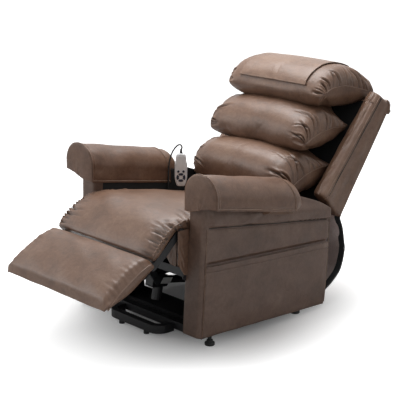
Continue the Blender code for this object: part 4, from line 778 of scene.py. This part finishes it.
def gather_ends(made, seed, pleats, nearest):
    """Short uneven pleats that run from the end seams up over the roll and fade out, with painted shade in their
    valleys.
    """
    across, above = read(made, "across"), read(made, "above")
    turn = np.arctan2(read(made, "turn_z"), read(made, "turn_y")) / (2 * pi) % 1.0
    u, sign = np.abs(across), np.sign(across)
    rng = np.random.default_rng(seed)
    depth, fold = np.zeros_like(u), np.zeros_like(u)
    first, last = 0.02, 0.47
    for side in (-1, 1):
        for k in range(pleats):
            spot = first + (last - first) * (k + rng.uniform(0.2, 0.8)) / pleats
            width, reach = rng.uniform(0.0045, 0.0100), rng.uniform(nearest, 0.80)
            deep, lean = rng.uniform(0.004, 0.0150), rng.uniform(-0.24, 0.05)
            where = ((turn - spot - lean * (1 - u) + 0.5) % 1.0 - 0.5) / (width * (0.55 + 1.1 * (1 - u)))
            valley = np.exp(-where ** 2) - 0.42 * np.exp(-((np.abs(where) - 1.9) / 1.1) ** 2)
            depth += deep * valley * step(reach, 0.90, u) * (1 - 0.5 * step(0.94, 1.0, u)) * (sign == side)
            fold += deep * np.exp(-(1.8 * where) ** 2) * step(reach, 0.86, u) * (sign == side)
    normals = np.empty(len(u) * 3)
    made.data.vertices.foreach_get("normal", normals)
    # Painted shade: fold holds the pleats' valleys, which darken the leather through the crease attribute.
    paint_fold_shade(made, fold * above, 0.009)
    pull(made, lambda p: p - normals.reshape(-1, 3) * (depth * above)[:, None])


cushion_half = 0.2535
low_profile = [
    (0.491, 0.515), (0.502, 0.560), (0.536, 0.597), (0.600, 0.613), (0.690, 0.612), (0.775, 0.600),
    (0.815, 0.560), (0.790, 0.500), (0.752, 0.452), (0.680, 0.436), (0.590, 0.428), (0.530, 0.432),
    (0.499, 0.466)]
low_seam = [(0.545, 0.472), (0.575, 0.490), (0.643, 0.519), (0.719, 0.531), (0.76, 0.53)]
low_roll = back_roll("low_back_cushion", low_profile, low_seam, cushion_half, seed=3, pleats=12)
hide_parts("back_cushion_low")
middle_profile = [
    (0.604, 0.655), (0.622, 0.703), (0.660, 0.744), (0.720, 0.770), (0.800, 0.778), (0.890, 0.776),
    (0.948, 0.755), (0.930, 0.700), (0.885, 0.640), (0.800, 0.608), (0.710, 0.597), (0.645, 0.598),
    (0.610, 0.620)]
middle_seam = [(0.624, 0.633), (0.684, 0.659), (0.747, 0.672), (0.804, 0.677), (0.862, 0.668)]
middle_roll = back_roll("middle_back_cushion", middle_profile, middle_seam, cushion_half, seed=17, pleats=12)
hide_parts("back_cushion_middle")
head_profile = [
    (0.694, 0.803), (0.705, 0.838), (0.734, 0.870), (0.778, 0.897), (0.835, 0.908), (0.890, 0.907),
    (0.955, 0.892), (1.015, 0.858), (1.050, 0.810), (1.036, 0.772), (0.965, 0.749), (0.870, 0.749),
    (0.785, 0.752), (0.722, 0.767)]
head_seam = [(0.730, 0.812), (0.768, 0.829), (0.849, 0.832), (0.944, 0.811), (1.035, 0.784)]
head_roll = back_roll("head_roll", head_profile, head_seam, cushion_half, seed=29, pleats=13, nearest=0.69,
                      thin=0.06, rear=0.12)
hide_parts("head_cushion")


# ---------------------------------------------------------------- head cover
# A loose piece of the same leather, hemmed all round, lies over the middle of the head cushion. It follows
# the roll's top and lifts off.
cover_half = 0.171
cover_front, cover_rear = 0.045, 0.385


def give_wall(made, thickness, offset):
    """Gives a single layer of leather its thickness."""
    bpy.context.view_layer.objects.active = made
    wall = made.modifiers.new("wall", "SOLIDIFY")
    wall.thickness = thickness
    wall.offset = offset
    bpy.ops.object.modifier_apply(modifier="wall")


bpy.ops.object.select_all(action="DESELECT")
cover = head_roll.copy()
cover.data = head_roll.data.copy()
cover.parent = None
cover.matrix_world = Matrix.Identity(4)
cover.name = cover.data.name = "head_cover_leather"
for key in list(cover.keys()):
    del cover[key]
bpy.context.scene.collection.objects.link(cover)
mesh = bmesh.new()
mesh.from_mesh(cover.data)
turn_y, turn_z = (mesh.verts.layers.float[label] for label in ("turn_y", "turn_z"))
gone = []
for v in mesh.verts:
    turn = np.arctan2(v[turn_z], v[turn_y]) / (2 * pi)
    if abs(v.co.x) > cover_half or not cover_front < turn < cover_rear:
        gone.append(v)
bmesh.ops.delete(mesh, geom=gone, context="VERTS")
mesh.to_mesh(cover.data)
mesh.free()
normals = np.empty(len(cover.data.vertices) * 3)
cover.data.vertices.foreach_get("normal", normals)
pull(cover, lambda p: p + normals.reshape(-1, 3) * 0.0032)
give_wall(cover, 0.0030, 1)
cover_hide = leather("head cover leather", (0.115, 0.070, 0.047), (0.27, 0.175, 0.122), 0.36)
finish_piece(cover, cover_hide, body="back", replaced=("head_cover",))


# ---------------------------------------------------------------- arms
# Upholstered arm: a padded panel with a slanting top, a rolled top rail over it, a loose leather cap sewn to
# the roll's shape and a flat pocket on the outside. The right arm is the left one mirrored.
def band_seam(y):
    """Height of the seam under the padded band along the outside of the arm."""
    return 0.451 - 0.1454 * (y - 0.025)


arm_top = through([
    (0.0235, 0.5595), (0.230, 0.519), (0.436, 0.481), (0.494, 0.477), (0.560, 0.455), (0.633, 0.426),
    (0.690, 0.392)], 200)
arm_front, arm_rear = 0.0235, 0.690
arm_x, arm_half, arm_corner = 0.2925, 0.0385, 0.013


def shape_arm(p):
    """Panel between the front post, the slanting top and the rear edge, open underneath."""
    a, u, v = p[:, 0], (p[:, 1] + 1) / 2, (p[:, 2] + 1) / 2
    top_y, top_z = at(arm_top, u).T
    low_z = 0.052 - 0.040 * u
    front_y = arm_front * v
    rear_y = 0.680 + 0.010 * v + 0.006 * np.sin(v * pi)
    y = front_y + (rear_y - front_y) * ((top_y - arm_front) / (arm_rear - arm_front) * v + u * (1 - v))
    z = low_z + (top_z - low_z) * v
    depth = np.minimum(y - front_y, rear_y - y)
    near = np.clip(1 - depth / arm_corner, 0, 1)
    half = arm_half - arm_corner * (1 - np.sqrt(np.clip(1 - near ** 2, 0, 1)))
    post = 0.010 * step(0.055, 0.040, y - front_y) * step(0.41, 0.37, z)
    half = np.where((a < 0) & (y - front_y < 0.1), arm_half + post - 0.4 * (arm_half - half), half)
    over = z - band_seam(y)
    inset = step(0.018, 0.034, y - front_y)
    band = 0.0105 * step(-0.002, 0.005, over) * (1 - 0.8 * step(0.030, 0.075, over)) * inset
    pucker = 0.0022 * ripple(y * 11 - over * 18, over * 9, 71, 10, 8)
    pucker *= step(0.0, 0.012, over) * (1 - step(0.045, 0.07, over)) * (0.3 + 0.7 * step(0.15, 0.35, u))
    mouth = z - (0.312 - 0.0745 * y)
    groove = 0.0075 * np.exp(-((over + 0.006) / 0.0048) ** 2) * inset
    groove += 0.0110 * np.exp(-((mouth - 0.004) / 0.0060) ** 2) * inset
    groove += 0.0016 * np.exp(-((y - front_y - 0.014) / 0.004) ** 2) * (over < 0)
    pad = 0.0022 * np.sin(np.clip(u, 0, 1) * pi) ** 0.5 * np.sin(np.clip(v, 0, 1) * pi) ** 0.5
    slack = 0.0010 * ripple(u * 5, v * 3.5, 72)
    outside = (a > 0.99) * (pad + band + pucker - groove + slack)
    return np.stack([arm_x + a * half + outside, FRONT + y, z], 1)


side_hide = leather("side panel leather", (0.066, 0.040, 0.028), (0.172, 0.108, 0.078), 0.46)
arm = box_piece("arm_panel_left", (6, 150, 130))
pull(arm, shape_arm)
bpy.ops.object.mode_set(mode="EDIT")
bpy.ops.mesh.select_mode(type="FACE")
bpy.ops.mesh.select_all(action="DESELECT")
shell = bmesh.from_edit_mesh(arm.data)
for f in shell.faces:
    c = f.calc_center_median()
    f.select_set(f.normal.z < -0.9 or (f.normal.x < -0.5 and c.z < 0.068 and 0.03 < c.y - FRONT < 0.642))
bmesh.update_edit_mesh(arm.data)
bpy.ops.mesh.delete(type="FACE")
bpy.ops.object.mode_set(mode="OBJECT")
give_wall(arm, 0.008, -1)
# The arm panels' inner faces toward the seat get a black cloth. It is painted shade for the dark gap between the
# arm and the seat.
inner_shade_cloth = plastic("black cloth painted as shade inside the arms", (0.006, 0.006, 0.006), 0.9, 0.4)
for word, made in both_sides(arm, "arm_panel", "chassis", side_hide, replaced=("arm",)):
    made.data.materials.append(inner_shade_cloth)
    for face in made.data.polygons:
        inward = -face.normal.x if word == "left" else face.normal.x
        face.material_index = int(inward > 0.8 and face.center.y > FRONT + 0.06)
thread = leather("tan thread and welt", (0.20, 0.135, 0.095), (0.34, 0.25, 0.19), 0.5)


def both_welts(name, line, radius, body="chassis", look=None):
    """A welt or stitch line on the left side and its mirrored twin."""
    for word, side in (("left", 1), ("right", -1)):
        points = [(side * x, FRONT + y, z) for x, y, z in line]
        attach(piping(f"{name}_{word}", points, radius, look), body)


post_line = [(0.3322, 0.0140 + arm_front * (z - 0.053) / 0.5, z) for z in np.linspace(0.058, 0.442, 40)]
both_welts("post_seam", post_line, 0.0013)
# The near-black line under the padded band's seam is painted shadow, where the band overhangs the panel. The same
# dark material is the real dark stitch on the wings.
dark_thread_and_shadow_line = leather("dark seam thread and painted shadow line", (0.012, 0.008, 0.006), (0.024, 0.016, 0.012), 0.6)
under_band = [(0.3278, y, band_seam(y) - 0.0052) for y in np.linspace(0.040, 0.670, 60)]
both_welts("band_shadow_seam", under_band, 0.0017, look=dark_thread_and_shadow_line)
rear_line = [(0.3250, 0.6835 + 0.010 * v + 0.006 * sin(v * pi), 0.017 + 0.375 * v)
             for v in np.linspace(0.02, 0.97, 40)]
both_welts("panel_rear_seam", rear_line, 0.0014, look=thread)
roll_x, roll_slope = 0.325, 0.189


def shape_roll(p):
    """The roll's end behind the cap, rounded down to the arm's slanting top."""
    t = (p[:, 2] + 1) / 2
    y = 0.30 + 0.178 * t
    shrink = np.sqrt(np.clip(1 - step(0.62, 1.0, t) ** 2 * 0.985, 0, 1))
    turn = np.arctan2(p[:, 1], p[:, 0])
    ring = np.hypot(p[:, 0], p[:, 1])
    radius = 0.0705
    x = roll_x + radius * np.cos(turn) * ring * (0.55 + 0.45 * shrink)
    middle = 0.6315 - roll_slope * y - radius
    high = np.where(np.sin(turn) > 0, radius * np.sin(turn), 0.060 * np.sin(turn)) * ring
    z = middle - 0.02 + (high + 0.02) * shrink
    return np.stack([x, FRONT + y, z], 1)


bpy.ops.object.select_all(action="DESELECT")
bpy.ops.mesh.primitive_cylinder_add(vertices=72, radius=1, depth=2, end_fill_type="TRIFAN")
roll = bpy.context.object
roll.name = roll.data.name = "arm_roll_left"
cut_along(roll, 2, 1.9, 40)
pull(roll, shape_roll)
for word, made in both_sides(roll, "arm_roll", "chassis", hide):
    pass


cap_x, cap_radius, cap_front = 0.3245, 0.0755, 0.0065


def cap_ring(t, y, grow=0.0):
    """Point of the cap's section: t runs from the inner lower edge over the top to the outer lower edge."""
    radius = cap_radius + grow
    top = 0.6365 + grow - roll_slope * y
    inner_low = 0.500 - 0.172 * y
    outer_low = 0.529 - 0.200 * y
    middle = top - radius
    straight_in, straight_out = middle - inner_low, middle - outer_low
    total = straight_in + straight_out + pi * radius
    s = t * total
    a = np.clip((s - straight_in) / radius, 0, pi)
    arch = middle + radius * np.sin(a)
    down = middle - (s - straight_in - pi * radius)
    z = np.where(s < straight_in, inner_low + s, np.where(s > straight_in + pi * radius, down, arch))
    return cap_x - radius * np.cos(a), z


def cap_rear(t):
    """The cap's rear edge lies further back at its lower outer corner."""
    return 0.392 + 0.026 * step(0.45, 0.95, t) + 0.012 * step(0.45, 0.05, t)


def shape_cap(p):
    """Loose cover over the arm's roll, hemmed along both lower edges and its rear edge."""
    t, f = (p[:, 0] + 1) / 2, (p[:, 1] + 1) / 2
    y = cap_front + (cap_rear(t) - cap_front) * f
    x, z = cap_ring(t, y)
    swell = 0.0018 * ripple(t * 2.4, f * 3.2, 51)
    swell += 0.0010 * ripple(t * 7, f * 1.5, 52) * (1 - step(0.0, 0.25, f))
    hem = 0.0012 * np.exp(-((f - 0.975) / 0.008) ** 2)
    hem += 0.0012 * (np.exp(-((t - 0.03) / 0.010) ** 2) + np.exp(-((t - 0.97) / 0.010) ** 2))
    out = swell - hem + 0.0026 * np.exp(-(f / 0.02) ** 2)
    nx, nz = (x - cap_x) / cap_radius, np.where((t > 0.25) & (t < 0.75), (z - 0.5) / 0.15, 0)
    size = np.maximum(np.hypot(nx, nz), 1e-6)
    return np.stack([x + out * nx / size, FRONT + y, z + out * nz / size], 1)


def flat_piece(name, across, along):
    """A flat square divided both ways, ready to be pulled into shape."""
    bpy.ops.object.select_all(action="DESELECT")
    bpy.ops.mesh.primitive_grid_add(x_subdivisions=across, y_subdivisions=along, size=2)
    made = bpy.context.object
    made.name = made.data.name = name
    return made


cap = flat_piece("arm_cap_left", 120, 130)
pull(cap, shape_cap)
give_wall(cap, 0.0036, -1)
cap_hide = leather("arm cover leather", (0.074, 0.039, 0.024), (0.200, 0.116, 0.074), 0.38)
for word, made in both_sides(cap, "arm_cap", "chassis", cap_hide, replaced=("arm_cover",)):
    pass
for label, y, out, radius, look in (
        ("front_welt", 0.0085, 0.0022, 0.0019, welt), ("front_stitch", 0.0230, 0.0003, 0.0009, thread)):
    x, z = cap_ring(np.linspace(0.015, 0.985, 90), y, out)
    both_welts(f"cap_{label}", [(a, y, b) for a, b in zip(x, z)], radius, look=look)
t = np.linspace(0.012, 0.988, 90)
x, z = cap_ring(t, cap_rear(t) - 0.009, 0.0006)
both_welts("cap_rear_stitch", list(zip(x, cap_rear(t) - 0.009, z)), 0.0010, look=thread)
for label, t in (("inner_hem", 0.022), ("outer_hem", 0.978)):
    y = np.linspace(0.008, float(cap_rear(np.array(t))) - 0.002, 60)
    x, z = cap_ring(np.full_like(y, t), y, 0.0006)
    both_welts(f"cap_{label}", list(zip(x, y, z)), 0.0011, look=thread)


def shape_cap_front(p):
    """Half-round front panel of the cap, slightly domed, with its seam allowance turned in."""
    t, r = (p[:, 0] + 1) / 2, (p[:, 1] + 1) / 2
    x, z = cap_ring(t, 0.004, 0.0005)
    x = cap_x + (x - cap_x) * r
    foot = 0.500 + 0.029 * np.clip((x - 0.249) / 0.151, 0, 1)
    dome = 0.0062 * (1 - r ** 4) + 0.0010 * ripple(t * 3, r * 2, 53) * (1 - r)
    return np.stack([x, FRONT + cap_front - dome, foot + (z - foot) * r], 1)


face = flat_piece("arm_cap_front_left", 90, 30)
pull(face, shape_cap_front)
give_wall(face, 0.003, 0)
for word, made in both_sides(face, "arm_cap_front", "chassis", cap_hide):
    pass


def shape_pocket(p):
    """Flat pocket on the outside of the arm, with a stitched band along its mouth."""
    u, v = (p[:, 1] + 1) / 2, (p[:, 2] + 1) / 2
    front, rear = 0.0145 + 0.012 * v, 0.672 + 0.010 * v
    y = front + (rear - front) * u
    low = 0.0585 - 0.0536 * y
    high = 0.312 - 0.0745 * y
    z = low + (high - low) * v
    slack = 0.0034 * np.sin(u * pi) ** 0.4 * step(0.0, 0.25, v) + 0.0013 * ripple(u * 3.0, v * 1.6, 61)
    slack *= step(0.0, 0.04, u) * step(0.0, 0.04, 1 - u)
    band = 0.0032 * step(0.905, 0.925, v) * step(0, 0.05, u) * step(0, 0.05, 1 - u)
    band -= 0.0034 * np.exp(-((v - 0.908) / 0.010) ** 2)
    base = 0.3318
    x = np.where(p[:, 0] > 0, base + 0.0035 + slack + band, base)
    return np.stack([x, FRONT + y, z], 1)


pocket = box_piece("arm_pouch_left", (1, 120, 90))
pull(pocket, shape_pocket)
for word, made in both_sides(pocket, "arm_pouch", "chassis", side_hide, replaced=("arm_pocket",)):
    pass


# ---------------------------------------------------------------- back wings
# Padded leather wing down each side of the back: a soft front roll, a flat outer face, and a cap folded
# over the top end like the end of a parcel.
lean_sin, lean_cos = sin(radians(35.6)), cos(radians(35.6))
wing_x = 0.2985


def on_back(s, n):
    """From distances up and out of the back to (y, z)."""
    return 0.600 + s * lean_sin - n * lean_cos, 0.360 + s * lean_cos + n * lean_sin


def shape_wing(p):
    """Tapering upright pad, rounded along its front strip and gathered at both ends."""
    a, n, s = p[:, 0], (p[:, 1] + 1) / 2, (p[:, 2] + 1) / 2
    low_front, top_front = np.array((0.1005, 0.009)), np.array((0.572, -0.040))
    low_rear, top_rear = np.array((0.076, -0.130)), np.array((0.572, -0.130))
    front = low_front + (top_front - low_front) * s[:, None]
    rear = low_rear + (top_rear - low_rear) * s[:, None]
    place = front + (rear - front) * n[:, None]
    depth = (front[:, 1] - rear[:, 1]) * n
    corner = 0.024
    near = np.clip(1 - depth / corner, 0, 1)
    half = 0.0325 - corner * (1 - np.sqrt(np.clip(1 - near ** 2, 0, 1))) * 0.80
    end = np.minimum(s, 1 - s) * 0.48
    close = np.clip(1 - end / 0.012, 0, 1)
    half -= 0.012 * (1 - np.sqrt(np.clip(1 - close ** 2, 0, 1)))
    flat = np.abs(a) > 0.99
    fold = 0.0016 * ripple(s * 4, n * 1.5, 81) * flat
    seam = 0.0036 * np.exp(-((depth - 0.0265) / 0.0034) ** 2) * flat
    cross = 0.0022 * np.exp(-((s - 0.905) / 0.006) ** 2) * (n < 0.01)
    bulge = (0.005 * (1 - a ** 2) + 0.0012 * ripple(a, s * 6, 82)) * (n < 0.01)
    y, z = on_back(place[:, 0], place[:, 1] + bulge - cross)
    return np.stack([wing_x + a * half + np.sign(a) * (fold - seam), FRONT + y, z], 1)


wing = box_piece("wing_left", (18, 90, 110))
pull(wing, shape_wing)
for word, made in both_sides(wing, "wing", "back", hide, replaced=("back_wing",)):
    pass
rise = np.linspace(0.03, 0.985, 60)
for label, behind, x, look in (("welt", 0.012, 0.3292, welt), ("stitch", 0.0265, 0.3290, dark_thread_and_shadow_line)):
    edge = [(x, *on_back(0.1005 + 0.4715 * s, 0.009 - 0.049 * s - behind)) for s in rise]
    both_welts(f"wing_front_{label}", edge, 0.0017, "back", look)
top_line = [(wing_x + x, *on_back(0.528, -0.0335 - 9 * abs(x) ** 2.4))
            for x in np.linspace(-0.031, 0.031, 24)]
both_welts("wing_top_seam", top_line, 0.0014, "back")


def shape_fold(p):
    """Spare leather of the wing's cover, folded over its top rear corner like the end of a parcel."""
    a, n, s = p[:, 0], (p[:, 1] + 1) / 2, (p[:, 2] + 1) / 2
    out = -0.100 - 0.044 * n - 0.003 * s
    up_back = 0.5745 - 0.007 * (1 - s) - 0.034 * step(0.35, 1.0, n) * (1 - 0.25 * s)
    y, z = on_back(up_back + 0.0025 * s + 0.0012 * ripple(a * 1.5, n * 3, 84), out)
    return np.stack([wing_x + a * (0.0345 - 0.004 * (1 - n)), FRONT + y, z], 1)


fold = box_piece("wing_fold_left", (20, 24, 2))
pull(fold, shape_fold)
round_edges(fold, 0.0018)
for word, made in both_sides(fold, "wing_fold", "back", hide):
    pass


# ---------------------------------------------------------------- rear panel
# Flat leather panel over the back of the chair, sewn to the wings. Thin padding under it covers the board's
# fixings.
def shape_rear(p):
    """The panel's outer face swells a little, and its inner face is flat."""
    s, w = (p[:, 2] + 1) / 2, np.abs(p[:, 0])
    swell = 0.003 * (1 - w ** 8) * np.sin(np.clip(s, 0, 1) * pi) ** 0.5
    swell += 0.0012 * ripple(p[:, 0] * 2, s * 2, 91)
    n = np.where(p[:, 1] > 0, -0.1335 - swell, -0.1303)
    y, z = on_back(0.077 + 0.494 * s, n)
    return np.stack([0.3305 * p[:, 0], FRONT + y, z], 1)


rear = box_piece("rear_leather_panel", (110, 1, 80))
pull(rear, shape_rear)
finish_piece(rear, hide, body="back", replaced=("back_rear_panel",))


# ---------------------------------------------------------------- rear skirt
# Leather skirt from the lower edge of the back to the rear rail, slack while the back leans. Its side edges
# are bound in black.
skirt_line = through([
    on_back(0.096, -0.1385), on_back(0.074, -0.1375), (0.7720, 0.300), (0.787, 0.249), (0.798, 0.200),
    (0.777, 0.133), (0.722, 0.088), (0.6795, 0.064), (0.6760, 0.047)], 300)
skirt_half = 0.326
skirt = flat_piece("rear_skirt_leather", 120, 80)


def hung(x, across, down, share):
    """Points of the skirt: x across the chair, its slack waving across and down."""
    y, z = at(skirt_line, share).T
    wave = 0.004 * ripple(2.0 * across, down * 2, 97) * np.sin(down * pi)
    return np.stack([x, FRONT + y + wave, z], 1)


def shape_skirt(p):
    """The whole skirt between its two bindings."""
    t = (1 - p[:, 1]) / 2
    return hung(skirt_half * p[:, 0], p[:, 0], t, t)


pull(skirt, shape_skirt)
give_wall(skirt, 0.0022, 0)
finish_piece(skirt, hide, replaced=("back_skirt",))
# The skirt's inner face lies in shade under the back. It gets a much paler copy of the hide, which is painted
# light.
skirt.data.materials.append(leather("skirt inner face painted light", (0.46, 0.38, 0.36), (0.74, 0.64, 0.61), 0.6))
for face in skirt.data.polygons:
    face.material_index = int(face.normal.y < 0)
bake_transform(skirt, "chassis", "back", start=(0, FRONT + 0.70, 0.075), end=(0, FRONT + 0.765, 0.335))
binding_look = plastic("black binding", (0.012, 0.012, 0.013), 0.6)
for word, side in (("left", 1), ("right", -1)):
    binding = flat_piece(f"skirt_binding_{word}", 8, 100)

    def shape_binding(p, side=side):
        """Black tape over one side edge of the skirt."""
        t = (1 - p[:, 1]) / 2
        x = side * (skirt_half - 0.010 + 0.0125 * p[:, 0])
        return hung(x, side * np.ones_like(t), t, 0.02 + 0.96 * t)

    pull(binding, shape_binding)
    give_wall(binding, 0.0052, 0)
    finish_piece(binding, binding_look)
    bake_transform(binding, "chassis", "back", start=(0, FRONT + 0.70, 0.075), end=(0, FRONT + 0.765, 0.335))


# ---------------------------------------------------------------- steel, plastic and rubber parts
# Lift base, arms, rails and actuators: black powder-coated steel, moulded black housings and plated rods.
# They are welded, bolted or pinned together and keep the frame's shapes.
def coated(name, colour, roughness, metallic=0.0):
    """Powder coat: slight orange peel, faint dust and rubbed spots."""
    made = plastic(name, colour, roughness, 0.3)
    made.node_tree.nodes["Principled BSDF"].inputs["Metallic"].default_value = metallic
    return made


looks = {
    "black_steel": coated("black powder coat", (0.006, 0.006, 0.007), 0.46),
    "grey_steel": coated("grey powder coat", (0.020, 0.021, 0.023), 0.46),
    "zinc_rod": coated("plated rod", (0.55, 0.56, 0.58), 0.22, 1.0),
    "black_rubber": coated("black rubber", (0.012, 0.012, 0.012), 0.7),
    "black_plastic": coated("black housing", (0.006, 0.006, 0.007), 0.5),
    "white_plastic": plastic("pale handset shell", (0.88, 0.89, 0.90), 0.32, 0.05),
    "button_rubber": plastic("dark button rubber", (0.020, 0.026, 0.045), 0.55),
    "plywood": coated("black board", (0.02, 0.02, 0.02), 0.6),
    "cable_sheath": sheath,
    "deck_cloth": coated("deck cloth", (0.01, 0.01, 0.01), 0.9),
    "black_lining": coated("black lining", (0.008, 0.008, 0.009), 0.9),
}
slots = {s["node"]: s["material_slot"] for s in frame["record"]["subparts"]}
for name, node in nodes.items():
    look = looks.get(slots[name])
    if look:
        node.data.materials.clear()
        node.data.materials.append(look)

# ---------------------------------------------------------------- base rails and levelling feet
# Two flat steel bars join the base's cross tubes under the arms. Moulded rubber feet are screwed up into
# them, one near each end.
rail_x = 0.300
foot_heights = (0, 0.0012, 0.010, 0.0115, 0.014, 0.020, 0.0215, 0.0385)
foot_radii = (0.0168, 0.0182, 0.0182, 0.0170, 0.0120, 0.0112, 0.0070, 0.0070)
for word, side in (("left", 1), ("right", -1)):
    rail = box_piece(f"floor_rail_{word}", (1, 20, 1))

    def shape_rail(p, side=side):
        """Flat bar, its ends under the cross tubes."""
        y = 0.315 + 0.258 * p[:, 1]
        return np.stack([side * rail_x + 0.0148 * p[:, 0], FRONT + y, 0.0445 + 0.0074 * p[:, 2]], 1)

    pull(rail, shape_rail)
    round_edges(rail, 0.002)
    finish_piece(rail, looks["black_steel"], body="base", smooth=False,
                 replaced=(f"base_rail_{word}",))
    for end, y in (("front", 0.083), ("rear", 0.542)):
        bpy.ops.object.select_all(action="DESELECT")
        bpy.ops.mesh.primitive_cylinder_add(vertices=40, radius=1, depth=2, end_fill_type="TRIFAN")
        foot = bpy.context.object
        foot.name = foot.data.name = f"levelling_foot_{end}_{word}"
        cut_along(foot, 2, 1.9, 24)

        def shape_foot(p, y=y, side=side):
            """Turned profile: a wide pad, a shoulder and a threaded stem."""
            high = (p[:, 2] + 1) / 2 * foot_heights[-1]
            wide = np.interp(high, foot_heights, foot_radii)
            return np.stack([side * rail_x + p[:, 0] * wide, FRONT + y + p[:, 1] * wide, high], 1)

        pull(foot, shape_foot)
        finish_piece(foot, looks["black_rubber"], body="base",
                     replaced=(f"foot_{end}_{word}",))
        bpy.ops.object.shade_smooth_by_angle(angle=radians(35))


# ---------------------------------------------------------------- blank tag on the lift motor
# A bare white tag is stuck along the side of the lift motor's tube. It is a strip of thin film with slanted
# ends.
tag = box_piece("lift_motor_tag", (1, 1, 1))
tail = np.array((FRONT + 0.085, 0.165))
tip = np.array((FRONT + 0.480, 0.082))
run = (tip - tail) / np.linalg.norm(tip - tail)
rise = np.array((-run[1], run[0]))


def shape_tag(p):
    """Along the tube from tail to tip, just proud of its side."""
    along = 0.050 + 0.024 * p[:, 1] + 0.006 * p[:, 2]
    high = 0.012 * p[:, 2]
    place = tail + run * along[:, None] + rise * high[:, None]
    return np.stack([0.0202 + 0.0003 * p[:, 0], place[:, 0], place[:, 1]], 1)


pull(tag, shape_tag)
finish_piece(tag, plastic("white tag", (0.82, 0.82, 0.80), 0.5), body="lift_motor",
             smooth=False)
